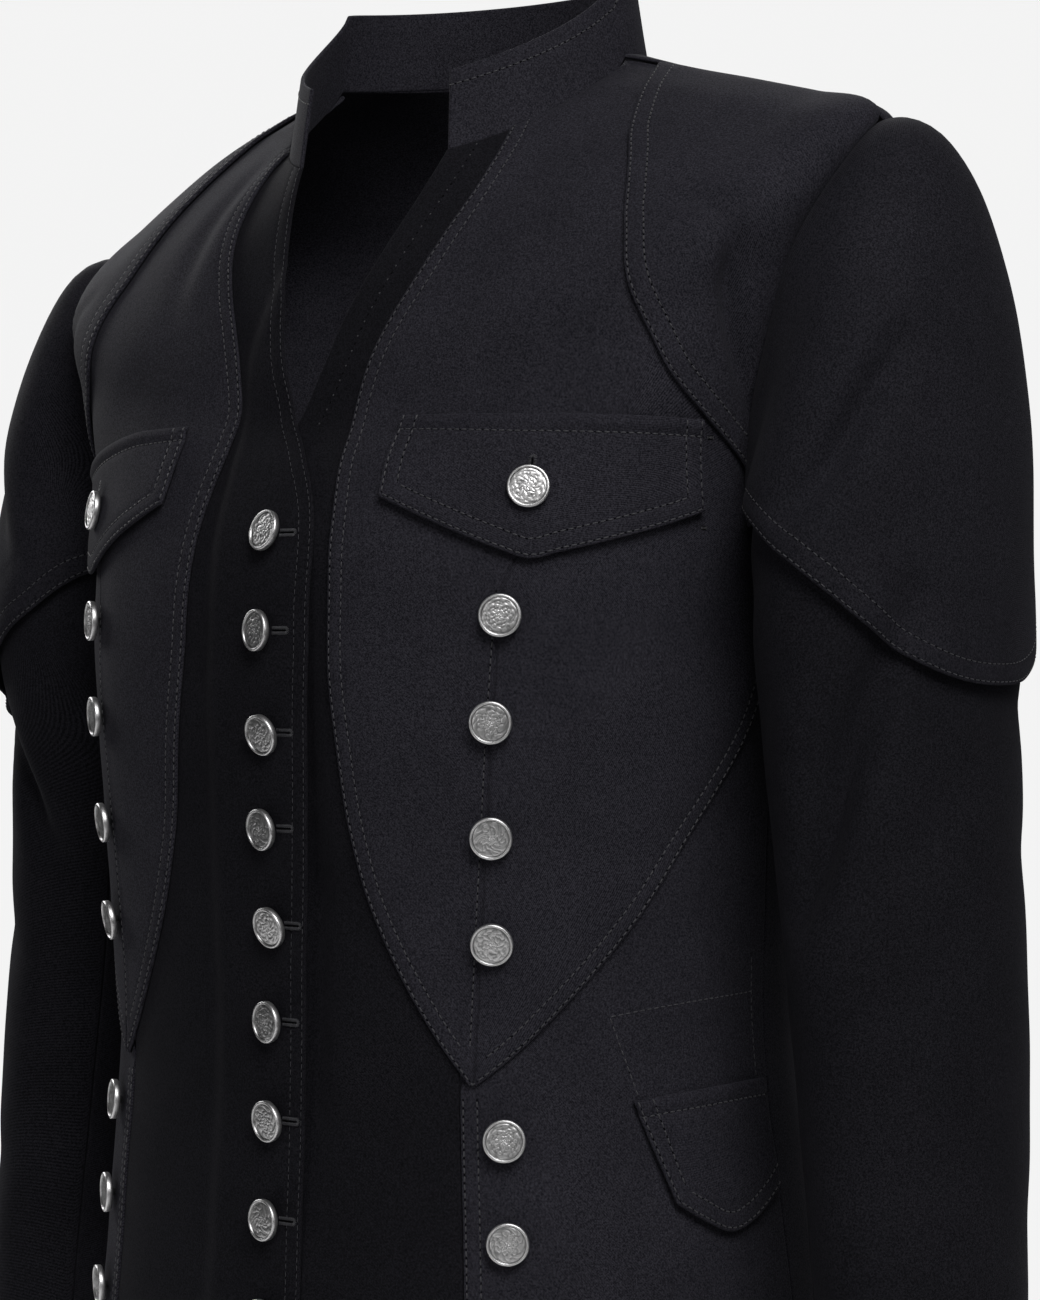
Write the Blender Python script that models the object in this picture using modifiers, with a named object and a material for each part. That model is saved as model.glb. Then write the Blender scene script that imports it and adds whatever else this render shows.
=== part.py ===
"""Fitted utility jacket in its worn form: hollow, buttoned, right front over left.

Every piece of cloth is a wall made from one of two smooth surfaces, the body's and the sleeve's,
and lies a whole number of layers out from it. Lengths here are millimetres until a mesh is made.
The origin is midway between the two side neck points, +Z is up and the front faces -Y, so +X is
the wearer's left.
"""

import math
from collections import namedtuple

import bmesh
import bpy
import numpy as np
from mathutils import Matrix

MM = 0.001
CLOTH = 1.4  # thickness of one wall of cloth
LAYER = 2.4  # a lapped piece stands this far off the one below it
SEAM = 0.1  # degrees kept back at each side of a seam, about 0.3 mm in all
ARMHOLE_SEAM = 2.0  # millimetres kept back at the armhole, where the sleeve's wall stands
OVERLAY_SEAM = 6.3  # the same where the sleeve overlay lies on that wall too
OVERLAY_OUT = 2.7  # how far the shoulder overlays stand off what they lie on
UNDERLAP = 3.0  # degrees that the lower piece runs on under a lapped edge
SIDE_SEAM = 96.0
SHOULDER_SEAM = 90.0
HEM = -575
COLLAR_LINE = -52  # level of the seam between body and collar
BODY_TOP = -54.5  # the body pieces end just below the collar
COLLAR_HEIGHT = 36
SHIELD_TIP = -441
SHIELD_CORNER = -238  # where the shield's outer edge meets the side seam
SHOULDER_DROP = 34  # the wearer's right shoulder is carried lower
SLEEVE_DROP = 24  # and so the right sleeve hangs lower and a little further out
SLEEVE_SHIFT = 2
ARMPIT_RISE = (12, 8, 4)  # its armpit drops less than that, by these at its first rows

BUTTON = 17.8  # 28 ligne
BUTTON_EDGE = 3.0
SHANK = 2.2
SHANK_RADIUS = 1.6
BUTTON_CLEAR = 0.8
BUTTON_SIDES = 12

# ------------------------------------------------------------- the body's surface
# A place on it is an angle around the body, in degrees from centre front (plus is the wearer's
# left, 180 is centre back), and a level: the height at which that ring crosses centre front.
# Rings are level up to the armholes and then lean up over the shoulders to the neck.
Ring = namedtuple("Ring", "level front half side side_z back back_z square arch")
RINGS = [
    Ring(-575, -152.0, 170, -6, -575, 122, -575, 2.30, 1.5),
    Ring(-510, -148.0, 163, -8, -510, 112, -510, 2.30, 1.5),
    Ring(-430, -144.0, 155, -10, -430, 96, -430, 2.35, 1.5),
    Ring(-350, -147.0, 157, -12, -350, 100, -350, 2.40, 1.5),
    Ring(-265, -150.0, 162, -12, -265, 110, -265, 2.50, 1.5),
    Ring(-215, -144.5, 166, -8, -222, 113, -208, 2.50, 1.5),
    Ring(-188, -134.5, 176, -4, -160, 112, -150, 2.45, 1.5),
    Ring(-164, -122.0, 198, 0, -85, 106, -100, 2.35, 1.5),
    Ring(-140, -117.5, 213, 2, -38, 98, -62, 2.20, 1.4),
    Ring(-120, -112.5, 184, 2, -27, 90, -40, 2.10, 1.3),
    Ring(-100, -106.5, 149, 1, -18, 81, -22, 2.05, 1.2),
    Ring(-78, -98.0, 112, 0, -8, 71, -6, 2.00, 1.0),
    Ring(-52, -87.0, 82, 0, 0, 62, 6, 2.00, 0.75),
]

# Columns grow narrow toward the shoulder seam, where the body turns sharply.
SHIELD_SHARES = (0, 0.2, 0.4, 0.58, 0.74, 0.88, 1)
OVERLAY_SHARES = (0, 0.3, 0.55, 0.73, 0.87, 1)
# Rows of points that all the body's pieces share, so that those that lap bend at the same places.
LEVELS = (
    -575, -530, -485, -441, -405, -370, -335, -300, -265, -238, -226, -221, -217, -211, -203,
    -194, -185, -176, -168, -160, -153, -147, -141.5, -134, -125, -115, -104, -92, -79, -67, -54.5,
)

# ------------------------------------------------------------- the sleeve's surface
# A place on a sleeve is a turn around the arm (0 outside, 90 front, 180 inside) and a step down
# it: 0 at the armhole seam, then one for each row of SLEEVE.
Armhole = namedtuple("Armhole", "turn around level")
ARMHOLE = [
    Armhole(0, 90.0, -142.5),
    Armhole(30, 78.0, -148.0),
    Armhole(60, 72.2, -159.0),
    Armhole(90, 73.2, -173.0),
    Armhole(120, 77.0, -191.5),
    Armhole(150, 84.0, -210.0),
    Armhole(180, 96.0, -220.0),
    Armhole(210, 107.0, -209.0),
    Armhole(240, 110.0, -191.0),
    Armhole(270, 109.5, -174.0),
    Armhole(300, 107.5, -160.0),
    Armhole(330, 102.0, -149.0),
]
Cuff = namedtuple("Cuff", "x y z wide deep tilt")
SLEEVE = [
    Cuff(204, 3, -139, 95, 54, 70),
    Cuff(213, 2, -156, 86, 64, 63),
    Cuff(218, 1, -181, 74, 70, 53),
    Cuff(221, 1, -213, 60, 72, 40),
    Cuff(220, 2, -249, 50, 71, 22),
    Cuff(220, 3, -297, 46, 66, 5),
    Cuff(225, 2, -370, 45, 60, 0),
    Cuff(232, -1, -440, 43, 56, 0),
    Cuff(239, -7, -520, 40, 50, 0),
    Cuff(246, -14, -615, 37, 44, 0),
]
TOP_SLEEVE_TURNS = (-114, -96, -78, -59, -39, -19, 1, 21, 41, 60, 78, 96, 115, 134)
UNDER_SLEEVE_TURNS = (134, 156, 180, 204, 226, 246)
OVERLAY_TURNS = (-134, *TOP_SLEEVE_TURNS, 141)
OVERLAY_START = 0.15  # step at which the sleeve's overlay begins
OVERLAY_ROWS = 9
SLEEVE_SEAM = 0.15  # degrees of turn kept back at each side of a sleeve seam
SLEEVE_STEPS = (0, 0.4, 0.9, 1.5, 2.1, 2.7, 3.3, 3.9, 4.6, 5.3, 6.2, 7.2, 8.5, 10)

# ------------------------------------------------------------- outlines
# Each is the angle around the body of an edge, at falling or rising levels.
Mark = namedtuple("Mark", "level around")
RIGHT_FRONT_EDGE = [
    Mark(-575, 8.7), Mark(-480, 9.0), Mark(-400, 9.2), Mark(-345, 10.2), Mark(-250, 10.8),
    Mark(-214, 9.9), Mark(-203, 8.7), Mark(-193, 6.9), Mark(-180, 3.8), Mark(-165, 0.2),
    Mark(-152, -1.2), Mark(-139, -2.6), Mark(-124, -4.3), Mark(-108, -6.4), Mark(-90, -11.2),
    Mark(-72, -17.5), Mark(-60, -22.5), Mark(-52, -27.0),
]
LEFT_FRONT_EDGE = [
    Mark(-575, -6.0), Mark(-240, -6.0), Mark(-210, -5.5), Mark(-190, -4.0), Mark(-178, -2.2),
    Mark(-165, 0.0), Mark(-152, 1.5), Mark(-139, 3.0), Mark(-124, 4.9), Mark(-108, 8.2),
    Mark(-90, 14.0), Mark(-72, 22.0), Mark(-60, 27.5), Mark(-52, 31.5),
]
SHIELD_INNER = [
    Mark(-441, 35.8), Mark(-421, 30.7), Mark(-399, 26.1), Mark(-372, 21.4), Mark(-339, 17.8),
    Mark(-304, 16.0), Mark(-264, 14.3), Mark(-234, 13.8), Mark(-206, 12.5), Mark(-177, 10.2),
    Mark(-156, 9.2), Mark(-138, 10.3), Mark(-115, 16.3), Mark(-96, 24.7), Mark(-76, 37.0),
    Mark(-63, 44.5), Mark(-52, 50.5),
]
LAP_START, LAP_END = 7.2, 10.5  # the right front rises between these, counted to the right
SHIELD_OUTER = [
    Mark(-441, 36.9), Mark(-430, 42.0), Mark(-406, 51.2), Mark(-371, 63.1), Mark(-343, 71.4),
    Mark(-315, 80.5), Mark(-290, 88.0), Mark(-262, 93.0), Mark(-238, 95.9),
]
DART_TOP = -226
DART = [
    Mark(-441, 36.35), Mark(-425, 36.8), Mark(-354, 38.3), Mark(-283, 39.5), Mark(-226, 40.0),
    Mark(-160, 43.0), Mark(-100, 58.0), Mark(-52, 70.0),
]
PRINCESS_SEAM = 34.3  # below the shield
OVERLAY_EDGE = [
    Mark(-197, 76.0), Mark(-187, 65.2), Mark(-177, 55.9), Mark(-160, 47.3), Mark(-141, 43.0),
    Mark(-124, 47.2), Mark(-103, 56.8), Mark(-92, 63.7), Mark(-81, 75.0), Mark(-71, 90.0),
]
# A flap runs across from its front edge to its back edge; top and foot are levels.
Flap = namedtuple("Flap", "top_around foot_around top foot")
CHEST_FLAP = [
    Flap(17.9, 20.2, -169.0, -201.0),
    Flap(23.3, 26.5, -171.3, -208.0),
    Flap(29.3, 33.0, -173.9, -214.4),
    Flap(35.2, 39.0, -176.5, -219.4),
    Flap(39.2, 43.1, -178.1, -221.8),
    Flap(43.2, 47.0, -179.7, -218.5),
    Flap(47.9, 51.6, -181.5, -215.1),
    Flap(53.4, 57.2, -183.4, -211.5),
    Flap(58.9, 62.8, -185.2, -208.3),
    Flap(64.3, 68.2, -186.7, -205.4),
]
HIP_FLAP = [
    Flap(61.2, 67.4, -448.6, -492.0),
    Flap(67.7, 72.6, -446.8, -500.0),
    Flap(74.0, 78.4, -445.9, -506.0),
    Flap(80.6, 84.0, -445.1, -503.0),
    Flap(86.8, 89.0, -444.7, -497.0),
    Flap(93.0, 93.4, -444.6, -491.0),
]
# How far down the sleeve its overlay reaches, from the front of the armhole round to the back.
Hem = namedtuple("Hem", "turn step")
SLEEVE_OVERLAY_HEM = [
    Hem(-138, 1.2), Hem(-112, 3.4), Hem(-85, 4.5), Hem(-50, 5.4), Hem(0, 5.75),
    Hem(50, 5.4), Hem(71, 4.95), Hem(86, 4.52), Hem(105, 3.75), Hem(122, 2.6), Hem(138, 1.2),
]

# ------------------------------------------------------------- buttons
# A button leans by turn, about a vertical axis, as its shank is pulled by the buttonhole.
Sewn = namedtuple("Sewn", "level around turn")
FRONT_BUTTONS = [
    Sewn(-213.5, 2.4, -12), Sewn(-253.7, 2.7, -16), Sewn(-296.2, 3.7, -8), Sewn(-336.4, 3.1, -13),
    Sewn(-377.2, 4.0, -9), Sewn(-418.1, 3.2, -14), Sewn(-459.8, 3.5, -11), Sewn(-501.5, 3.4, -12),
    Sewn(-543.0, 3.4, -12),
]
FLAP_BUTTON = Sewn(-199.2, 40.8, 0)
SHIELD_BUTTONS = [
    Sewn(-246.2, 40.0, 0), Sewn(-291.1, 39.4, 0), Sewn(-337.8, 39.5, 0), Sewn(-381.3, 39.6, 0),
]
SIDE_BUTTONS = [Sewn(-463.4, 40.8, 0), Sewn(-505.0, 40.8, 0), Sewn(-546.5, 40.8, 0)]

BLACK_WOOL = ((0.012, 0.012, 0.016), 0.85, 0.0)  # colour, roughness, metallic
SILVER = ((0.62, 0.61, 0.59), 0.3, 1.0)


def through(keys, rows, at):
    """Values at the keys asked for, on a smooth curve through the rows."""
    keys = np.asarray(keys, float)
    rows = np.asarray(rows, float)
    column = (-1, *[1] * (rows.ndim - 1))
    step = np.diff(keys)
    slope = np.diff(rows, axis=0) / step.reshape(column)
    share = (step[1:] / (step[1:] + step[:-1])).reshape(column)
    lean = np.concatenate([slope[:1], share * slope[:-1] + (1 - share) * slope[1:], slope[-1:]])
    at = np.clip(np.asarray(at, float), keys[0], keys[-1])
    i = np.clip(np.searchsorted(keys, at, side="right") - 1, 0, len(keys) - 2)
    wide = step[i]
    f = (at - keys[i]) / wide
    if rows.ndim > 1:
        f = f[..., None]
        wide = wide[..., None]
    return (
        (2 * f**3 - 3 * f**2 + 1) * rows[i]
        + (f**3 - 2 * f**2 + f) * wide * lean[i]
        + (3 * f**2 - 2 * f**3) * rows[i + 1]
        + (f**3 - f**2) * wide * lean[i + 1]
    )


def ease(f):
    """From 0 to 1 with level ends."""
    f = np.clip(f, 0, 1)
    return f * f * (3 - 2 * f)


def edge(marks, level):
    return through([m.level for m in marks], [m.around for m in marks], level)


def dropped(p):
    """Points of the body with the right shoulder let down."""
    out = np.clip((-p[..., 0] - 90) / 120, 0, 1) ** 1.5
    up = ease((p[..., 2] + 300) / 120)
    p = p.copy()
    p[..., 2] -= SHOULDER_DROP * out * up
    return p


def skin(around, level):
    """Points of the body's surface."""
    around, level = np.broadcast_arrays(np.asarray(around, float), np.asarray(level, float))
    ring = through([r.level for r in RINGS], [r[1:] for r in RINGS], level)
    front, half, side, side_z, back, back_z, square, arch = np.moveaxis(ring, -1, 0)
    s, c = np.sin(np.radians(around)), np.cos(np.radians(around))
    n = (np.abs(s) ** square + np.abs(c) ** square) ** (1 / square)
    s, c = s / n, c / n
    ahead = c > 0
    y = side + np.where(ahead, front - side, side - back) * c
    z = side_z + np.where(ahead, level - side_z, back_z - side_z) * np.abs(c) ** arch
    return dropped(np.stack([half * s, y, z], -1))


def across(point, a, b, da, db):
    """Unit normals of a surface point(a, b), by differences."""
    n = np.cross(point(a + da, b) - point(a - da, b), point(a, b + db) - point(a, b - db))
    return n / np.linalg.norm(n, axis=-1, keepdims=True)


def body(around, level, out=0.0):
    """Points of the body's surface moved out along its normal."""
    around, level = np.broadcast_arrays(np.asarray(around, float), np.asarray(level, float))
    out = np.asarray(out, float)
    return skin(around, level) + across(skin, around, level, 0.25, 0.5) * out[..., None]


def armhole(turn):
    """The armhole seam of the left side as (around, level)."""
    rows = [a[1:] for a in ARMHOLE]
    keys = [a.turn for a in ARMHOLE]
    wrapped = [k + lap for lap in (-360, 0, 360) for k in keys]
    return np.moveaxis(through(wrapped, rows * 3, np.mod(turn, 360)), -1, 0)


def armhole_at(level, front, margin):
    """Angle around the body of the armhole's front or back half, some way out from its seam.

    Over the armhole it is the shoulder seam's, and under it the side seam's.
    """
    turn = np.linspace(0, 180, 61) if front else np.linspace(360, 180, 61)
    around, height = armhole(turn)
    margin = np.full_like(turn, margin(turn))[:, None]
    along = skin(*armhole(turn + 1)) - skin(*armhole(turn - 1))
    away = np.cross(along, across(skin, around, height, 0.25, 0.5))
    away *= margin / np.linalg.norm(away, axis=1, keepdims=True)
    east = skin(around + 0.5, height) - skin(around - 0.5, height)
    north = skin(around, height + 0.5) - skin(around, height - 0.5)
    table = np.stack([east, north], -1)
    moved = np.array([np.linalg.lstsq(t, a, rcond=None)[0] for t, a in zip(table, away)])
    around = around + moved[:, 0]
    height = height + moved[:, 1]
    around[0], around[-1] = SHOULDER_SEAM, SIDE_SEAM
    return np.interp(level, height[::-1], around[::-1])


def sleeve_skin(turn, step, side):
    """Points of a sleeve's surface; side is 1 on the wearer's left and -1 on the right."""
    turn, step = np.broadcast_arrays(np.asarray(turn, float), np.asarray(step, float))
    around, level = armhole(turn)
    c, s = np.cos(np.radians(turn)), np.sin(np.radians(turn))
    rows = [body(side * around, level, LAYER * (s + 1) / 2)]
    for i, cuff in enumerate(SLEEVE):
        tilt = math.radians(cuff.tilt)
        x = cuff.x + cuff.wide * c * math.cos(tilt)
        z = cuff.z + cuff.wide * c * math.sin(tilt)
        if side < 0:
            rise = ARMPIT_RISE[i] if i < len(ARMPIT_RISE) else 0
            x += SLEEVE_SHIFT
            z += rise * np.clip(-c, 0, 1) - SLEEVE_DROP
        rows.append(np.stack([side * x, cuff.y - cuff.deep * s, z], -1))
    rows = np.array([2 * rows[0] - rows[1], *rows, 2 * rows[-1] - rows[-2]])
    i = np.clip(np.floor(step).astype(int), 0, len(rows) - 4)
    f = (step - i)[..., None]
    a, b, c, d = (np.take_along_axis(rows, (i + k)[None, ..., None], 0)[0] for k in range(4))
    return b + 0.5 * f * (c - a + f * (2 * a - 5 * b + 4 * c - d + f * (3 * (b - c) + d - a)))


def sleeve(turn, step, out, side):
    """Points of a sleeve's surface moved out along its normal."""
    turn, step = np.broadcast_arrays(np.asarray(turn, float), np.asarray(step, float))

    def bare(a, b):
        return sleeve_skin(a, b, side)

    return bare(turn, step) + across(bare, turn, step, 0.5, 0.02) * side * out


def material(name, colour, roughness, metallic):
    made = bpy.data.materials.new(name)
    made.use_nodes = True
    shader = made.node_tree.nodes["Principled BSDF"]
    shader.inputs["Base Color"].default_value = (*colour, 1)
    shader.inputs["Roughness"].default_value = roughness
    shader.inputs["Metallic"].default_value = metallic
    return made


def grid(columns, rows, place):
    """A bmesh grid whose points are place(u, v), with u and v from 0 to 1, in millimetres."""
    mesh = bmesh.new()
    bmesh.ops.create_grid(mesh, x_segments=columns, y_segments=rows, size=0.5)
    uv = np.array([v.co[:2] for v in mesh.verts]) + 0.5
    for vert, point in zip(mesh.verts, place(uv[:, 0], uv[:, 1])):
        vert.co = point * MM
    return mesh


def cloth(name, mesh, outward, finish):
    """Makes an object of an open sheet and gives it the cloth's thickness, outward."""
    mesh.normal_update()
    mesh.faces.ensure_lookup_table()
    face = mesh.faces[len(mesh.faces) // 2]
    if face.normal.dot(outward(face.calc_center_median())) < 0:
        bmesh.ops.reverse_faces(mesh, faces=mesh.faces)
    data = bpy.data.meshes.new(name)
    mesh.to_mesh(data)
    mesh.free()
    data.shade_smooth()
    data.materials.append(finish)
    made = bpy.data.objects.new(name, data)
    PIECES.objects.link(made)
    wall = made.modifiers.new("Wall", "SOLIDIFY")
    wall.thickness = CLOTH * MM
    wall.offset = 1
    return made


def from_body_axis(centre):
    """Outward from the body's axis, leaning up where the shoulders turn inward."""
    lift = 0.5 * ease((centre.z / MM + 160) / 60)
    out = centre.copy()
    out.z = 0
    out.normalize()
    out.z = float(lift) * 3
    return out


def from_arm_axis(side):
    def outward(centre):
        rows = SLEEVE[3:]
        at = min(rows, key=lambda cuff: abs(cuff.z * MM - centre.z))
        out = centre.copy()
        out.x -= side * at.x * MM
        out.y -= at.y * MM
        out.z = 0
        return out

    return outward


def spread(start, end, shares):
    """Lines between two edges, each at its share of the way across."""
    return [lambda z, f=f: start(z) + (end(z) - start(z)) * f for f in shares]


def even(start, end, count):
    return spread(start, end, [i / count for i in range(count + 1)])


def panel(side, lines, low, high, out):
    """A sheet on the body, its columns between lines that each give an angle for a level."""
    levels = [low, *(z for z in LEVELS if low < z < high), high]
    columns, rows = len(lines) - 1, len(levels) - 1

    def place(u, v):
        level = np.interp(v * rows, range(rows + 1), levels)
        column = np.rint(u * columns).astype(int)
        around = np.array([line(level) for line in lines])
        around = np.take_along_axis(around, column[None], 0)[0]
        return body(side * around, level, out(around, level))

    return grid(columns, rows, place)


def always(value):
    return lambda level: np.full_like(np.asarray(level, float), value)


def layer(count):
    return lambda around, level: np.full_like(around, count * LAYER)


def inner_end(level):
    """The front's edge under the shield, and below the shield its seam to the side piece."""
    under = edge(SHIELD_INNER, level) + UNDERLAP
    seam = PRINCESS_SEAM - SEAM
    lower = np.where(level > SHIELD_TIP, np.minimum(under, seam), seam)
    return np.where(level > SHIELD_CORNER, under, lower)


def outer_start(level):
    """The side piece's edge under the shield, and below the shield its seam to the front."""
    under = edge(SHIELD_OUTER, level) - UNDERLAP
    seam = PRINCESS_SEAM + SEAM
    return np.where(level > SHIELD_TIP, np.maximum(under, seam), seam)


def under_overlay(turn):
    """Kept back at the armhole by a piece that ends partly below the sleeve's overlay."""
    return ARMHOLE_SEAM + (OVERLAY_SEAM - ARMHOLE_SEAM) * ease((170 - turn) / 18)


def shield_end(level):
    upper = armhole_at(level, True, under_overlay) - SEAM
    return np.where(level < SHIELD_CORNER, edge(SHIELD_OUTER, level), upper)


def shield_out(around, level):
    """The shield lies on the front and the side piece, and comes down to the back at its seams."""
    at_side = ease((level - SHIELD_CORNER) / 12) * ease((around - 84) / 11) * (level < -215)
    at_shoulder = ease((level + 165) / 22) * ease((around - 76) / 13)
    return LAYER * (1 - np.maximum(at_side, at_shoulder))


def dart_side(sign):
    """One side of the slit that the shield's dart leaves below its point."""
    return lambda z: edge(DART, z) + sign * SEAM / 2 * (z < DART_TOP - 1)


def add_front(side, name, finish):
    if side > 0:
        lines = even(lambda z: edge(LEFT_FRONT_EDGE, z), inner_end, 4)
        return cloth(name, panel(1, lines, HEM, BODY_TOP, layer(0)), from_body_axis, finish)

    # The right front's angles are turned over, so that its lapped edge lies below zero. It
    # comes down from the left front's height between two lines past that front's edge.
    def lapped_edge(z):
        return -edge(RIGHT_FRONT_EDGE, z)

    def lap_start(z):
        return np.maximum(lapped_edge(z) + 1, LAP_START)

    def lap_end(z):
        return np.maximum(lap_start(z) + 1, LAP_END)

    def out(around, level):
        return LAYER * (1 - ease((around - LAP_START) / (LAP_END - LAP_START)))

    lines = [*even(lapped_edge, lap_start, 2), *even(lap_end, inner_end, 3)]
    return cloth(name, panel(-1, lines, HEM, BODY_TOP, out), from_body_axis, finish)


def add_shield(side, name, finish):
    inner = even(lambda z: edge(SHIELD_INNER, z), dart_side(-1), 3)
    whole = panel(side, inner, SHIELD_TIP, BODY_TOP, shield_out)
    outer = spread(dart_side(1), shield_end, SHIELD_SHARES)
    outer = panel(side, outer, SHIELD_TIP, BODY_TOP, shield_out)
    joined = bpy.data.meshes.new("outer_half")
    outer.to_mesh(joined)
    outer.free()
    whole.from_mesh(joined)
    bpy.data.meshes.remove(joined)
    bmesh.ops.remove_doubles(whole, verts=whole.verts, dist=0.00001)
    cloth(name, whole, from_body_axis, finish)


def add_panels(side, tag, finish):
    add_front(side, f"front_{tag}", finish)
    add_shield(side, f"shield_{tag}", finish)
    lines = even(outer_start, always(SIDE_SEAM - SEAM), 5)
    low = panel(side, lines, HEM, SHIELD_CORNER - 2, layer(0))
    cloth(f"front_side_{tag}", low, from_body_axis, finish)
    lines = even(lambda z: armhole_at(z, False, lambda turn: ARMHOLE_SEAM) + SEAM, always(180 - SEAM), 7)
    cloth(f"back_{tag}", panel(side, lines, HEM, BODY_TOP, layer(0)), from_body_axis, finish)
    lines = spread(
        lambda z: edge(OVERLAY_EDGE, z),
        lambda z: armhole_at(z, True, lambda turn: OVERLAY_SEAM) - SEAM,
        OVERLAY_SHARES,
    )
    low, high = OVERLAY_EDGE[0].level, OVERLAY_EDGE[-1].level
    upper = panel(side, lines, low, high, lambda a, z: shield_out(a, z) + OVERLAY_OUT)
    cloth(f"shoulder_overlay_{tag}", upper, from_body_axis, finish)


def add_flap(name, side, rows, layers, deep, finish):
    def place(u, v):
        row = through(np.arange(len(rows)), rows, u * (len(rows) - 1))
        top_around, foot_around, top, foot = np.moveaxis(row, -1, 0)
        around = top_around + (foot_around - top_around) * v
        return body(side * around, top + (foot - top) * v, layers * LAYER)

    cloth(name, grid(len(rows) - 1, deep, place), from_body_axis, finish)


def add_sleeve(side, tag, finish):
    def tube(turns, steps, out):
        """A grid with a column for each turn; steps(turn, row share) gives each row's place."""

        def place(u, v):
            turn = np.interp(u * (len(turns) - 1), range(len(turns)), turns)
            return sleeve(turn, steps(turn, v), out, side)

        return place

    def shared(turn, v):
        return np.interp(v * (len(SLEEVE_STEPS) - 1), range(len(SLEEVE_STEPS)), SLEEVE_STEPS)

    def to_hem(turn, v):
        hem = through([h.turn for h in SLEEVE_OVERLAY_HEM], [h.step for h in SLEEVE_OVERLAY_HEM], turn)
        row = v * OVERLAY_ROWS
        step = np.interp(row, range(OVERLAY_ROWS), [OVERLAY_START, *SLEEVE_STEPS[1:OVERLAY_ROWS]])
        return np.where(v > 0.999, hem, np.minimum(step, hem - 0.03 * (OVERLAY_ROWS - row)))

    outward = from_arm_axis(side)
    turns = [*TOP_SLEEVE_TURNS]
    turns[0] += SLEEVE_SEAM
    turns[-1] -= SLEEVE_SEAM
    mesh = grid(len(turns) - 1, len(SLEEVE_STEPS) - 1, tube(turns, shared, 0))
    cloth(f"sleeve_top_{tag}", mesh, outward, finish)
    turns = [*UNDER_SLEEVE_TURNS]
    turns[0] += SLEEVE_SEAM
    turns[-1] -= SLEEVE_SEAM
    mesh = grid(len(turns) - 1, len(SLEEVE_STEPS) - 1, tube(turns, shared, 0))
    cloth(f"sleeve_under_{tag}", mesh, outward, finish)
    mesh = grid(len(OVERLAY_TURNS) - 1, OVERLAY_ROWS, tube(OVERLAY_TURNS, to_hem, OVERLAY_OUT))
    cloth(f"sleeve_overlay_{tag}", mesh, outward, finish)


def add_collar(finish):
    start = float(edge(LEFT_FRONT_EDGE, COLLAR_LINE))
    end = 360 + float(edge(RIGHT_FRONT_EDGE, COLLAR_LINE))

    def place(u, v):
        foot = skin(start + (end - start) * u, np.full_like(u, COLLAR_LINE))
        lean = foot * np.array([-1, -1, 0]) / np.linalg.norm(foot[:, :2], axis=1, keepdims=True)
        rise = v[:, None] * COLLAR_HEIGHT
        return foot + lean * rise * 0.16 + np.array([0, 0, 1.0]) * rise

    cloth("collar", grid(18, 2, place), from_body_axis, finish)


def button_profile():
    """Radius and height of the button's outline from its middle, down the outside, to its foot."""
    radius = BUTTON / 2
    face = SHANK + BUTTON_EDGE
    return [
        (0, face - 0.5),
        (radius - 1.2, face),
        (radius, face - 1.0),
        (radius - 0.5, SHANK),
        (SHANK_RADIUS, SHANK),
        (SHANK_RADIUS, 0),
        (0, 0),
    ]


def button_mesh(finish):
    profile = button_profile()
    data = bpy.data.meshes.new("button")
    points = [(r * MM, 0, z * MM) for r, z in profile]
    data.from_pydata(points, [(i, i + 1) for i in range(len(points) - 1)], [])
    data.materials.append(finish)
    return data


def add_button(name, data, side, sewn, layers):
    """Sews a button on: its shank stands off the outermost layer of cloth at that place."""
    out = layers * LAYER + CLOTH + BUTTON_CLEAR
    around, level = np.array(side * sewn.around), np.array(sewn.level)
    normal = across(skin, around, level, 0.25, 0.5)
    up = np.array([0, 0, 1.0])
    right = np.cross(up, normal)
    right /= np.linalg.norm(right)
    frame = np.eye(4)
    frame[:3, :3] = np.stack([right, np.cross(normal, right), normal], 1)
    frame[:3, 3] = body(around, level, out) * MM
    made = bpy.data.objects.new(name, data)
    PIECES.objects.link(made)
    made.matrix_world = Matrix(frame) @ Matrix.Rotation(math.radians(sewn.turn), 4, "Y")
    turned = made.modifiers.new("Turned", "SCREW")
    turned.steps = BUTTON_SIDES
    turned.render_steps = BUTTON_SIDES
    turned.use_merge_vertices = True
    turned.merge_threshold = 0.00001
    turned.use_smooth_shade = True


for old in list(bpy.data.objects):
    bpy.data.objects.remove(old)
PIECES = bpy.data.collections.new("utility_jacket")
bpy.context.scene.collection.children.link(PIECES)
wool = material("black_wool", *BLACK_WOOL)
silver = material("silver", *SILVER)
button = button_mesh(silver)

for hand, tag in ((1, "left"), (-1, "right")):
    add_panels(hand, tag, wool)
    add_flap(f"chest_flap_{tag}", hand, CHEST_FLAP, 2, 4, wool)
    add_flap(f"hip_flap_{tag}", hand, HIP_FLAP, 1, 4, wool)
    add_sleeve(hand, tag, wool)
    add_button(f"button_flap_{tag}", button, hand, FLAP_BUTTON, 2)
    for number, sewn in enumerate(SHIELD_BUTTONS, 1):
        add_button(f"button_shield_{tag}_{number}", button, hand, sewn, 1)
    for number, sewn in enumerate(SIDE_BUTTONS, 1):
        add_button(f"button_side_{tag}_{number}", button, hand, sewn, 0)
add_collar(wool)
for number, sewn in enumerate(FRONT_BUTTONS, 1):
    add_button(f"button_front_{number}", button, 1, sewn, 1)
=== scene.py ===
"""Dresses the fitted utility jacket: cloth walls with rolled edges, stitches, buttons and folds.

Every wall of cloth lies on one of two smooth surfaces, the body's and the sleeve's, a whole
number of layers out from it. Lengths are millimetres until a mesh is made.
"""

import math
from collections import namedtuple

import bpy
import numpy as np
from mathutils import Matrix, Vector


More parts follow.
